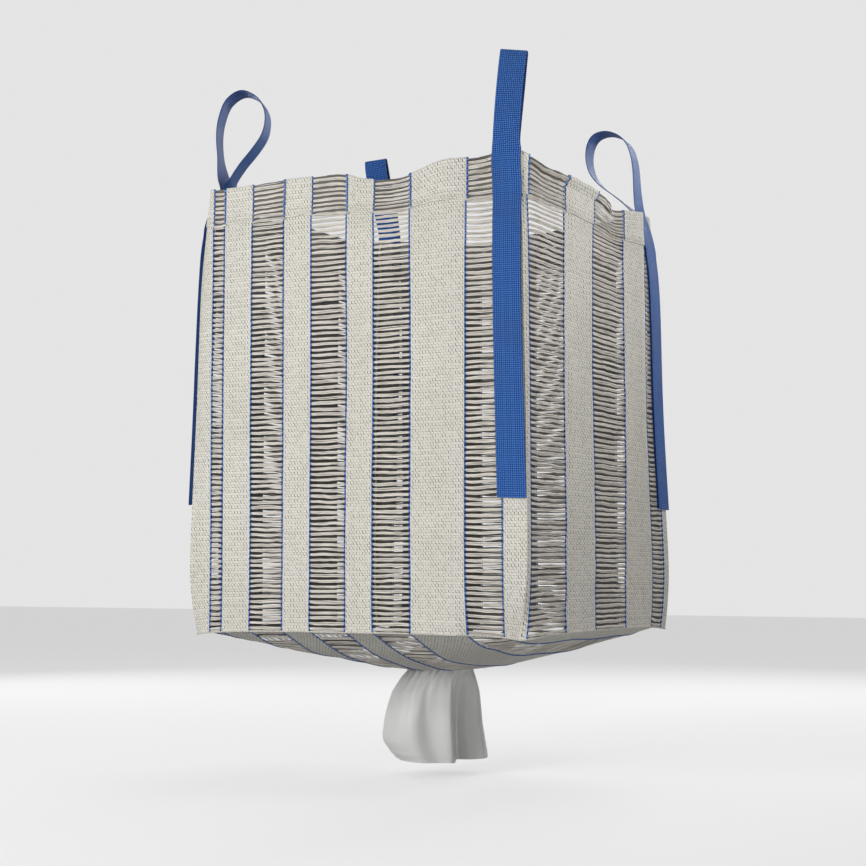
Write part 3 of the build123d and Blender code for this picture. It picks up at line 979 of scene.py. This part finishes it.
def makeHem(wall):
    roll, rollFrom = bandLook["roll"], bandLook["rollFrom"]
    meshes = []
    for left, right in wallGaps[wall]:
        left = left + bandLook["hemShift"] * (left > -wallWidth / 2)
        right = right + bandLook["hemShift"] * (right < wallWidth / 2)

        def placeHem(u, v):
            # the last of it rolls over the rim to the inside
            turn = np.clip((v - rollFrom) / 0.1, 0, 1) * math.pi
            level = hemFoot + (wallTop - 0.001 - hemFoot) * np.clip(v / rollFrom, 0, 1) + roll * np.sin(turn)
            return onHem(wall, left + (right - left) * u, level, roll * (np.cos(turn) - 1) * (turn > 0))

        meshes.append(sheetMesh(
            max(3, round((right - left) / bandLook["hemCell"])), 20, placeHem,
            lambda u, v: (left + (right - left) * u, hemFoot + (wallTop - hemFoot) * v),
        ))
    hem = joinedPiece(f"{wall}_hem_cloth", meshes)
    thicken(hem, bandLook["hemThickness"])
    dress(hem, hemCloth if wall in ("front", "back") else sideHemCloth, [f"{wall}_hem"])


def makeVents(wall):
    # the open rows, the rows that the hem covers, and the hem's own rows between them
    seed, fullness = wallTurns[wall], ventLook["fullness"][wall]
    shifted = [(low + bandLook["hemShift"], high + bandLook["hemShift"]) for low, high in wallVents[wall]]
    hemRows = rowsUp[rowsUp > hemFoot + 0.004] - ventLook["rowPitch"] / 2
    sets = [
        tapeRows(seed + 11, wallVents[wall], rowsUp[rowsUp < hemFoot], partial(onWall, wall), fullness),
        tapeRows(seed + 13, wallVents[wall], rowsUp[rowsUp >= hemFoot], partial(onWall, wall), fullness),
        tapeRows(seed + 17, shifted, hemRows, partial(onHem, wall), ventLook["hemFullness"]),
    ]
    # the rows that the hem covers take the finish with painted shade
    slots = np.repeat((0, 1, 0), [len(mesh.polygons) for mesh, area in sets])
    vents = joinedPiece(f"{wall}_vent_tapes", [mesh for mesh, area in sets])
    for material in (ventTapes, coveredTapesShaded):
        vents.data.materials.append(material)
    vents.data.polygons.foreach_set("material_index", slots.astype(np.int32))
    dress(vents, ventTapes, [f"{wall}_vents"])
    return vents


def makeLeno(wall):
    beside = bandLook["border"] / 2
    middles = [edge for low, high in wallVents[wall] for edge in (low - beside, high + beside)]
    threads = lenoLines([(edge, 0.0, wallTop) for edge in middles], partial(onWall, wall))
    hemLines = [(edge + bandLook["hemShift"], hemFoot, wallTop) for edge in middles]
    leno = joinedPiece(f"{wall}_leno_threads", threads + lenoLines(hemLines, partial(onHem, wall)))
    return dress(leno, lenoThread, [f"{wall}_leno_cords"])


for wall in wallTurns:
    bands = makeBands(wall)
    makeHem(wall)
    vents = makeVents(wall)
    leno = makeLeno(wall)
    rows = [hemStitches(wall, wallTop - level) for level in hemStitchLook["levels"]]
    dress(joinedPiece(f"{wall}_hem_stitches", rows), whiteThread, [f"{wall}_hem_stitching"])
    print("wall:", wall, *(f"{part.name} {len(part.data.polygons)}" for part in (bands, vents, leno)))

# Corners: seam allowance, webbing, loops
cornerLook = {
    "webbingWidth": 0.070,
    "webbing": 0.0024,
    "tailLength": 0.830,
    "tailTop": 0.415,
    "tailFoot": 0.440,
    "tailRun": 0.042,      # how far its outer edge runs below its inner one, for its width
    "tailSnug": 0.0016,    # closer to the wall below the hem
    "snugHeights": (1.06, 1.03),
    "tailRows": 96,
    "loopRows": 84,
    "across": 8,
    "pathRise": 0.25,      # tilt and lean of a loop are for this height
    "parting": 0.03,       # a loop leaves the rim's line within this height
    "innerOff": 0.0050,
    "outerOff": 0.0076,
    "innerGap": 0.0026,
    "seamFlange": 0.018,
    "seam": 0.0024,
    "seamWave": (0.0022, 0.11),
    "foldFrom": (0, 0, -0.262),    # the strap bends between these heights as a loop folds
    "foldTo": (0, 0, -0.212),
}
# degrees of twist, share of the path's rise, tilt and lean of the crown, path in millimetres: inwards, up
loopLooks = {
    "front_left": {"twist": 21, "rise": 1.08, "tilt": 0.0, "lean": 0.0, "path": (
        (0, 0), (-15, 40), (-23, 90), (-27, 140), (-21, 185), (-2, 228), (36, 250), (76, 236),
        (98, 207), (103, 176), (94, 140), (68, 104), (36, 68), (10, 30), (3, 0),
    )},
    "front_right": {"twist": 0, "rise": 1.0, "tilt": 0.20, "lean": 0.0055, "path": (
        (0, 0), (2, 42), (7, 94), (15, 150), (25, 206), (34, 246), (38, 251), (42, 246), (37, 214), (29, 164),
        (20, 112), (12, 66), (6, 28), (3, 0),
    )},
    "back_left": {"twist": 2, "rise": 0.955, "tilt": 0.04, "lean": 0.0, "path": (
        (0, 0), (6, 36), (20, 82), (42, 132), (66, 182), (86, 234), (92, 247), (100, 241),
        (92, 202), (68, 148), (42, 98), (20, 54), (8, 22), (3, 0),
    )},
    "back_right": {"twist": 5, "rise": 1.0, "tilt": 0.0, "lean": 0.0, "path": (
        (0, 0), (3, 35), (6, 70), (9, 125), (15, 165), (28, 200), (52, 226), (88, 240),
        (122, 234), (141, 209), (146, 169), (135, 124), (106, 87), (70, 58), (33, 26), (3, 0),
    )},
}


tailStitchLook = {
    "pitch": 0.0075,
    "edge": 0.007,      # from the webbing's edge
    "beside": 0.018,    # between the two rows at each edge
    "box": 0.12,
    "foot": 0.012,
    "top": 0.020,
    "off": 0.0014,
    "size": (0.0010, 0.0048, 0.0008),
}


def throughPoints(points, samples):
    # smooth line through a few given points
    knots = np.array([points[0], *points, points[-1]], float)
    count = len(points) - 1
    place = np.linspace(0, count, samples)
    order = np.minimum(place.astype(int), count - 1)
    return betweenPoints(*(knots[order + step] for step in range(4)), (place - order)[:, None])


def onTail(wall, corner, level, side, off):
    # a place on the webbing, which keeps its width where the cloth is drawn in under it
    down = (bag["wallHeight"] - level) / cornerLook["tailLength"]
    edge = cornerHalf(corner, level) - cornerLook["webbingWidth"] / 2
    middle = cornerLook["tailTop"] + (cornerLook["tailFoot"] - cornerLook["tailTop"]) * down
    wanted = np.minimum(middle, edge + 0.0005) + side
    along = wanted
    for _ in range(6):
        along = np.clip(along + (wanted - planOf(wall, along, level)[0]), 0, bag["patternHalfWidth"])
    snug = cornerLook["tailSnug"] * smoothStep(*cornerLook["snugHeights"], level)
    return onWall(wall, along, level - side * cornerLook["tailRun"], off - snug)


def webbingPiece(wall, corner):
    look = loopLooks[corner]
    right, out = wallAxes(wall)
    up = np.array((0, 0, 1.0))
    tailRows, loopRows, across = (cornerLook[key] for key in ("tailRows", "loopRows", "across"))
    total = 2 * tailRows + loopRows
    path = throughPoints(look["path"], loopRows + 1) / 1000 * (1, look["rise"])
    pathRise, innerGap = cornerLook["pathRise"], cornerLook["innerGap"]
    levels = np.linspace(bag["wallHeight"] - cornerLook["tailLength"], bag["wallHeight"], tailRows + 1)
    side = np.linspace(-0.5, 0.5, across + 1) * cornerLook["webbingWidth"]
    grid = np.zeros((total + 1, across + 1, 3))
    for row, level in enumerate(levels):
        for place, off in ((row, "outerOff"), (total - row, "innerOff")):
            grid[place] = onTail(wall, corner, np.full_like(side, level), side, cornerLook[off])
    base, inner = grid[tailRows].copy(), grid[total - tailRows].copy()
    middle = base[across // 2]
    for row in range(loopRows + 1):
        inward, rise = path[row]
        twist = math.radians(look["twist"]) * smoothStep(0.004, 0.11 if row < loopRows / 2 else 0.04, rise)
        cosine, sine = math.cos(twist), math.sin(twist)
        turned = np.array(((cosine, -sine, 0), (sine, cosine, 0), (0, 0, 1)))
        widthWay = turned @ right
        spot = middle + turned @ (-out * inward) + up * rise + right * look["lean"] * rise / pathRise
        free = smoothStep(0.0, cornerLook["parting"], rise)
        start = base if row < loopRows / 2 else inner
        plain = spot[None] + widthWay[None] * side[:, None]
        plain = plain - up[None] * side[:, None] * look["tilt"] * rise / pathRise
        held = start + up * rise - out * max(0, inward - innerGap * (row > loopRows / 2))
        grid[tailRows + row] = held * (1 - free) + plain * free
    steps = np.linalg.norm(np.diff(grid[:, across // 2], axis=0), axis=1)
    lengths = np.concatenate([[0], np.cumsum(steps)])
    mesh = sheetMesh(
        across, total,
        lambda u, v: grid[np.rint(v * total).astype(int), np.rint(u * across).astype(int)],
        lambda u, v: (u * cornerLook["webbingWidth"], np.interp(v * total, np.arange(total + 1), lengths)),
    )
    strap = joinedPiece(f"webbing_and_loop_{corner}", [mesh])
    thicken(strap, cornerLook["webbing"], 0)
    return strap


def tailStitches(wall, corner):
    # rows along both edges of the sewn part and across its ends
    look = tailStitchLook
    low, high = bag["wallHeight"] - cornerLook["tailLength"] + look["foot"], bag["wallHeight"] - look["top"]
    edge = cornerLook["webbingWidth"] / 2 - look["edge"]
    off = cornerLook["outerOff"] + look["off"]
    levels, sides = np.arange(low, high, look["pitch"]), np.arange(-edge, edge + 0.001, look["pitch"])
    rows = [(levels, np.full_like(levels, side), (0.002, 0))
            for side in (-edge, -edge + look["beside"], edge - look["beside"], edge)]
    rows += [(np.full_like(sides, level), sides, (0, 0.002))
             for level in (low, low + look["box"], high - look["box"], high)]
    return joinedPiece(f"webbing_stitches_{corner}", [stitchLine(
        wall, onTail(wall, corner, rowLevels, rowSides, off),
        onTail(wall, corner, rowLevels + step[0], rowSides + step[1], off), *look["size"],
    ) for rowLevels, rowSides, step in rows])


def cornerSeam(wall, corner):
    right, out = wallAxes(wall)
    inward = -(right + out) / math.sqrt(2)
    sideways = (right - out) / math.sqrt(2)
    size, pitch = cornerLook["seamWave"]

    def place(u, v):
        level = 0.002 + (bag["wallHeight"] - 0.008) * v
        inside = -bag["clothThickness"] - 0.0004
        base = onWall(wall, np.full_like(level, bag["patternHalfWidth"]), level, inside)
        wander = 1.2 * ripple(wallTurns[wall] + 41, level, level, 0.2)
        wave = size * u * np.sin(level * math.tau / pitch + wander)
        depth = cornerLook["seamFlange"] * u * (1 + 0.06 * ripple(wallTurns[wall] + 42, level, level, 0.03))
        return base + inward * depth[:, None] + sideways * wave[:, None]

    mesh = sheetMesh(4, 150, place, lambda u, v: (u * cornerLook["seamFlange"], v * bag["wallHeight"]))
    seam = joinedPiece(f"corner_allowance_{corner}", [mesh])
    thicken(seam, cornerLook["seam"], 0)
    return seam


for wall in wallTurns:
    corner = wallCorners[wall][1]
    strap = webbingPiece(wall, corner)
    dress(strap, webbingCloth, [f"webbing_{corner}", f"loop_{corner}"], body=None)
    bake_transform(strap)
    dress(tailStitches(wall, corner), blueThread, [f"stitching_{corner}"])
    dress(cornerSeam(wall, corner), wovenCloth, [f"corner_seam_{corner}"])
print("corners: webbing, loops and seams")

# Sagging bottom
bottomLook = {
    "cell": 0.0105,
    "fullness": 1.25,
    "tapes": 5,            # bundles are drawn together in pairs
    "ventWidth": 0.62,     # all strips together, flat
    "cutOut": 0.6,         # share of the mouth's circle that the bands give up
}
half = bag["footHalf"] - 0.0005
# the front and back strips run on under the bag, drawn in a little at the foot
stripEdges = planPoint(np.array(frontVents), bag["footHalf"], bag["footHalf"])[0]
bottomStrips = [tuple(float(place) for place in pair) for pair in stripEdges]
bottomGaps = gapsBetween(bottomStrips, half, bandLook["border"])
bottomMeshes = []
for left, right in bottomGaps:
    columns = max(2, round((right - left) / bottomLook["cell"]))
    rows = round(2 * half / bottomLook["cell"])
    work = gridWork(columns, rows)
    for vert in work.verts:
        vert.co = (left + (right - left) * vert.co.x, half - 2 * half * vert.co.y, 0)
    inside = [face for face in work.faces if all(vert.co.length < bag["mouthRadius"] for vert in face.verts)]
    bmesh.ops.delete(work, geom=inside, context="FACES")
    for vert in work.verts:
        if vert.co.length < bag["mouthRadius"]:
            vert.co = vert.co.normalized() * bag["mouthRadius"]
    bmesh.ops.remove_doubles(work, verts=work.verts, dist=0.0004)
    mesh = toMesh(work)
    spots = readVerts(mesh)
    loops = np.zeros(len(mesh.loops), np.int32)
    mesh.loops.foreach_get("vertex_index", loops)
    writeMap(mesh, spots[loops][:, :2])
    writeVerts(mesh, onBottom(spots[:, 0], spots[:, 1], 0.0))
    bottomMeshes.append(mesh)
bottom = joinedPiece("bottom_bands", bottomMeshes)
for material in (bottomCloth, wovenInsideShade):
    bottom.data.materials.append(material)
thicken(bottom, bag["clothThickness"], innerSlot=1)
dress(bottom, bottomCloth, ["bottom_panel"])

bottomTapes, bottomArea = tapeRows(
    501, bottomStrips, np.arange(-half + 0.010, half - 0.008, 2 * ventLook["rowPitch"]),
    lambda along, level, off: onBottom(along, np.clip(level, -half, half), off),
    bottomLook["fullness"], bottomLook["tapes"], bag["mouthRadius"] + 0.001,
)
bottomVents = joinedPiece("bottom_vent_tapes", [bottomTapes])
dress(bottomVents, ventTapes)
lines = []
for low, high in bottomStrips:
    for edge in (low - bandLook["border"] / 2, high + bandLook["border"] / 2):
        if abs(edge) < bag["mouthRadius"]:
            chord = math.sqrt(bag["mouthRadius"] ** 2 - edge ** 2)
            lines += [(edge, -half, -chord), (edge, chord, half)]
        else:
            lines.append((edge, -half, half))
bottomLeno = joinedPiece("bottom_leno_threads", lenoLines(lines, onBottom))
bottomLeno.data.flip_normals()
bottomVents.data.flip_normals()
dress(bottomLeno, lenoThread)

bindingLook = {"level": -0.0012, "height": 0.0045, "depth": 0.0022, "girth": 0.024}
bindingMeshes = []
for wall in wallTurns:
    mesh = toMesh(rolledWork(90, 8))
    spots = readVerts(mesh)
    reach = bag["patternHalfWidth"] + 0.001
    level = bindingLook["level"] + spots[:, 1] * bindingLook["height"]
    writeVerts(mesh, onWall(wall, (spots[:, 0] * 2 - 1) * reach, level, spots[:, 2] * bindingLook["depth"]))
    corners = readMap(mesh)
    writeMap(mesh, stacked(corners[:, 0] * 2 * reach, corners[:, 1] * bindingLook["girth"]))
    bindingMeshes.append(mesh)
binding = joinedPiece("bottom_binding", bindingMeshes)
dress(binding, wovenCloth, [f"bottom_seam_{wall}" for wall in wallTurns])
print("bottom:", len(bottom.data.polygons), len(bottomVents.data.polygons))

# Discharge spout
viewTurn = math.radians(27.8)    # its lobes are set out in a frame turned this far round the axis
spoutLook = {
    "top": 98,    # millimetres below the bottom corners, as all heights of the outlines
    "levels": {    # outlines, left to right across the front lobe and round
        98: (
            (-78, 0), (-62, 40), (-30, 68), (2, 76), (34, 68), (56, 50), (70, 34),
            (80, 16), (84, -8), (76, -36), (46, -66), (0, -80), (-42, -68), (-70, -38),
        ),
        125: (
            (-100, -2), (-80, 46), (-46, 74), (-12, 76), (26, 78), (44, 52), (54, 38),
            (78, 28), (93, 2), (88, -40), (52, -78), (0, -92), (-54, -80), (-89, -44),
        ),
        160: (
            (-123, -6), (-98, 52), (-62, 83), (-22, 79), (24, 86), (38, 48), (46, 24),
            (74, 24), (99, 8), (101, -44), (58, -90), (-4, -104), (-66, -90), (-110, -50),
        ),
        205: (
            (-139, -8), (-112, 56), (-68, 86), (-26, 76), (26, 84), (37, 34), (43, 4),
            (72, 10), (103, -4), (107, -56), (58, -106), (-8, -114), (-80, -94), (-126, -54),
        ),
        249: (
            (-149, -8), (-122, 57), (-74, 87), (-26, 74), (28, 82), (36, 22), (43, -10),
            (72, 0), (106, -12), (112, -66), (57, -118), (-14, -120), (-90, -97), (-137, -57),
        ),
        290: (
            (-151, -6), (-124, 56), (-72, 85), (-22, 72), (31, 76), (37, 12), (44, -18),
            (76, -6), (112, -18), (119, -74), (56, -124), (-18, -122), (-94, -97), (-139, -56),
        ),
        323: (
            (-130, 0), (-108, 54), (-62, 82), (-14, 71), (33, 69), (39, 6), (45, -22),
            (80, -9), (116, -22), (124, -80), (58, -127), (-14, -124), (-84, -98), (-124, -50),
        ),
        339: (
            (-112, 4), (-93, 53), (-54, 79), (-8, 70), (33, 66), (40, 4), (46, -24),
            (82, -11), (118, -24), (126, -82), (60, -128), (-12, -125), (-78, -99), (-113, -46),
        ),
    },
    "foot": 339,
    "split": 0.162,     # where the upper and lower lengths of the cloth meet, below the bottom corners
    "cloth": 0.0016,
    "pleats": 0.0055,
    "pleatFade": 62,    # the gathers die out over about this many millimetres
    "around": 240,      # points round each outline
    "creases": (11, 23),
    "broad": ((0.0022, 5, 0.9, 0.006), (0.0014, 8, 2.2, -0.01)),    # size, count, start and slant
    "footTilt": 0.004,
    "girth": 0.80,
    "flatGathers": 0.70,
    "flatSkirt": 0.84,
    "hem": 0.022,
    "hemCloth": 0.0009,
    "swingFrom": (0, 0, -1.500),    # the gathers start to follow the neck here
    "swingTo": (0, 0, -1.655),      # and the skirt has its own swing from here on
}


def closedLine(points, samples):
    ring = np.array(points, float)
    count = len(ring)
    place = np.arange(samples) / samples * count
    order = place.astype(int)
    return betweenPoints(*(ring[(order + step) % count] for step in (-1, 0, 1, 2)), (place - order)[:, None])


def spoutPoints(low, high, rows, inset):
    # rows of points from low to high below the bottom corners
    samples, (count, finer) = spoutLook["around"], spoutLook["creases"]
    depths = sorted(spoutLook["levels"])
    rings = np.array([closedLine(spoutLook["levels"][depth], samples) for depth in depths])
    wanted = np.linspace(low, high, rows + 1) * 1000
    turn = np.arange(samples) / samples * math.tau
    result = np.zeros((rows + 1, samples, 3))
    for row, depth in enumerate(wanted):
        place = np.interp(depth, depths, np.arange(len(depths)))
        order = min(int(place), len(depths) - 2)
        beside = (rings[min(max(order + step, 0), len(depths) - 1)] for step in (-1, 0, 1, 2))
        ring = betweenPoints(*beside, place - order) / 1000
        reach = np.linalg.norm(ring, axis=1)[:, None]
        gather = math.exp(-max(0.0, depth - spoutLook["top"]) / spoutLook["pleatFade"])
        creases = np.sin(count * turn + 1.2 * np.sin(3 * turn + 0.6)) + 0.5 * np.sin(finer * turn + 2.0)
        broad = sum(size * np.sin(waves * turn + start + depth * slant)
                    for size, waves, start, slant in spoutLook["broad"])
        push = spoutLook["pleats"] * gather * creases + broad * (1 - gather)
        ring = ring * (1 + (push[:, None] - inset) / reach)
        lift = -0.001 * depth
        tuck = spoutLook["footTilt"] * np.sin(turn + 2.6) * (depth / spoutLook["foot"]) ** 6
        u, v = ring[:, 0], ring[:, 1]
        result[row] = stacked(
            u * math.cos(viewTurn) + v * math.sin(viewTurn),
            u * math.sin(viewTurn) - v * math.cos(viewTurn),
            bag["baseZ"] + lift + tuck,
        )
    return result


def spoutMesh(low, high, rows, inset=0.0):
    grid, samples = spoutPoints(low, high, rows, inset), spoutLook["around"]
    mesh = toMesh(gridWork(samples, rows))
    unit = readVerts(mesh)
    corners = readMap(mesh)
    # the outline runs clockwise from above, so the rows go downwards
    writeMap(mesh, stacked(corners[:, 0] * spoutLook["girth"], low + (high - low) * (1 - corners[:, 1])))
    column = np.rint(unit[:, 0] * samples).astype(int) % samples
    row = np.rint((1 - unit[:, 1]) * rows).astype(int)
    writeVerts(mesh, grid[row, column])
    work = bmesh.new()
    work.from_mesh(mesh)
    bmesh.ops.remove_doubles(work, verts=work.verts, dist=1e-6)
    work.to_mesh(mesh)
    work.free()
    return mesh


top, split, foot = 0.095, spoutLook["split"], spoutLook["foot"] / 1000
gathers = joinedPiece("spout_gathers", [spoutMesh(top, split, 16)])
skirt = joinedPiece("spout_skirt_cloth", [spoutMesh(split, foot, 44)])
hem = joinedPiece("spout_hem_band", [spoutMesh(foot - spoutLook["hem"], foot + 0.0005, 6, inset=-0.0011)])
for part, thickness in ((gathers, "cloth"), (skirt, "cloth"), (hem, "hemCloth")):
    thicken(part, spoutLook[thickness])

collarLook = {
    "steps": 96,
    "radius": 0.0905,
    "width": 0.019,
    "height": 0.0042,
    "level": bag["baseZ"] - bag["sag"] + 0.0068,
    "waves": (0.0012, 9, -0.0012, 13, 0.7),    # size and count in and out; size, count and start up and down
}
tieLook = {
    "steps": 120,
    "radius": 0.0440,
    "width": 0.0062,
    "height": 0.0062,
    "level": bag["pivotZ"] - 0.048,
    "waves": (0.0016, 17, 0.0010, 5, 0.0),
}
neckLook = {    # the closed neck from the mouth to its puckered end, in stages of the cloth's length
    "stages": (0, 0.2, 0.45, 0.7, 0.82, 0.9, 1.0),
    "drops": (-0.022, -0.008, 0.016, 0.040, 0.047, 0.040, 0.010),
    "radii": (0.072, 0.068, 0.056, 0.045, 0.040, 0.027, 0.003),
    "pleat": 0.0026,
    "cloth": 0.0014,
}


def ringPiece(name, look):
    mesh = toMesh(rolledWork(look["steps"], 8))
    spots = readVerts(mesh)
    turn = spots[:, 0] * math.tau
    inSize, inCount, upSize, upCount, upStart = look["waves"]
    reach = look["radius"] + spots[:, 1] * look["width"] + inSize * np.sin(turn * inCount)
    level = look["level"] + spots[:, 2] * look["height"] + upSize * np.sin(turn * upCount + upStart)
    writeVerts(mesh, stacked(reach * np.cos(turn), reach * np.sin(turn), level))
    return joinedPiece(name, [mesh])


def neckPlace(u, v):
    # a pleated ball from the mouth down to the tie, and the puckered bunch under it
    turn = -u * math.tau
    stage = np.clip(v, 0, 1)
    drop = np.interp(stage, neckLook["stages"], neckLook["drops"])
    reach = np.interp(stage, neckLook["stages"], neckLook["radii"])
    pleat = neckLook["pleat"] * np.sin(17 * turn + np.sin(4 * turn)) * smoothStep(0.1, 0.75, stage)
    reach = reach + pleat * np.clip(reach / 0.05, 0, 1)
    return stacked(reach * np.cos(turn), reach * np.sin(turn), bag["pivotZ"] - drop)


collar = ringPiece("spout_collar_ring", collarLook)
neck = joinedPiece("spout_neck_cloth", [sheetMesh(180, 36, neckPlace, lambda u, v: (u * 0.5, v * 0.16))])
thicken(neck, neckLook["cloth"])
tie = ringPiece("spout_tie_cord", tieLook)

dress(collar, bottomCloth, ["spout_collar"])
dress(gathers, spoutCloth, body=None)
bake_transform(gathers)
dress(skirt, spoutCloth, ["spout_skirt"], body=None)
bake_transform(skirt)
dress(hem, spoutCloth, ["spout_hem"], "spout_skirt")
dress(neck, spoutInner, ["spout_neck"], "spout_neck")
dress(tie, tieCord, ["spout_tie"], "spout_neck")
print("spout")

# Floor, light, camera
studio = {
    "floorZ": -1.790,
    "floorColour": (0.32, 0.32, 0.32),
    "floorBounce": (0.42, 0.42, 0.42),
    "floorGlow": 0.58,
    "backdrop": 0.78,
    "ambient": 0.10,
    "camera": (2.17, -4.13, -1.243),
    "pitch": 4.45,
    "pan": 27.95,
    "lens": 72.1,
}


def showApart(tree, lighting, seen, target):
    # one shader lights the bag; the other is seen by the camera, in reflections and through glass
    choice = tree.nodes.new("ShaderNodeMixShader")
    path = tree.nodes.new("ShaderNodeLightPath")
    total = path.outputs["Is Camera Ray"]
    for kind in ("Is Glossy Ray", "Is Transmission Ray"):
        either = tree.nodes.new("ShaderNodeMath")
        either.operation = "MAXIMUM"
        tree.links.new(total, either.inputs[0])
        tree.links.new(path.outputs[kind], either.inputs[1])
        total = either.outputs[0]
    for socket, source in zip(choice.inputs, (total, lighting.outputs[0], seen.outputs[0])):
        tree.links.new(source, socket)
    tree.links.new(choice.outputs[0], target.inputs["Surface"])


bpy.ops.mesh.primitive_plane_add(size=30, location=(0, 0, studio["floorZ"]))
floor = bpy.context.object
floor.name = "studio_floor"
floorMaterial, tree, shader = newMaterial("studio_floor", 0.9, 0.0, 0.1)
shader.inputs["Base Color"].default_value = (*studio["floorColour"], 1)
shader.inputs["Emission Color"].default_value = (1, 1, 1, 1)
shader.inputs["Emission Strength"].default_value = studio["floorGlow"]
quiet = tree.nodes.new("ShaderNodeBsdfDiffuse")    # how the floor lights the bag
quiet.inputs["Color"].default_value = (*studio["floorBounce"], 1)
target = next(node for node in tree.nodes if node.type == "OUTPUT_MATERIAL")
showApart(tree, quiet, shader, target)
floor.data.materials.append(floorMaterial)

world = bpy.data.worlds.new("studio")
bpy.context.scene.world = world
world.use_nodes = True
tree = world.node_tree
tree.nodes.clear()
seen, lit = tree.nodes.new("ShaderNodeBackground"), tree.nodes.new("ShaderNodeBackground")
seen.inputs[0].default_value, seen.inputs[1].default_value = (1, 1, 1, 1), studio["backdrop"]
lit.inputs[0].default_value, lit.inputs[1].default_value = (1, 1, 1, 1), studio["ambient"]
showApart(tree, lit, seen, tree.nodes.new("ShaderNodeOutputWorld"))

lampLooks = {    # place, aim, size and power of each soft lamp
    "key": ((-1.7, -4.8, 0.1), (0, 0, -0.85), 2.0, 200),
    "side": ((1.75, -0.2, -0.05), (0.45, 0, -0.12), 0.6, 12),
    "rim": ((0.2, 4.1, 1.0), (0, 0, -0.85), 2.0, 95),
    "back": ((-3.9, 2.3, 0.3), (0, 0, -0.85), 2.0, 60),
    "low": ((2.9, -3.1, -1.58), (0, 0, -1.58), 0.8, 50),
}
for name, (place, aim, size, power) in lampLooks.items():
    lamp = bpy.data.lights.new(name, "AREA")
    lamp.size, lamp.energy = size, power
    holder = bpy.data.objects.new(name, lamp)
    bpy.context.scene.collection.objects.link(holder)
    holder.location = place
    holder.rotation_euler = (Vector(aim) - Vector(place)).to_track_quat("-Z", "Y").to_euler()

camera = bpy.data.cameras.new("camera")
camera.lens, camera.sensor_width = studio["lens"], 36
cameraHolder = bpy.data.objects.new("camera", camera)
bpy.context.scene.collection.objects.link(cameraHolder)
cameraHolder.location = studio["camera"]
cameraHolder.rotation_euler = (math.radians(90 + studio["pitch"]), 0, math.radians(studio["pan"]))
bpy.context.scene.camera = cameraHolder
bpy.context.scene.view_settings.view_transform = "Standard"
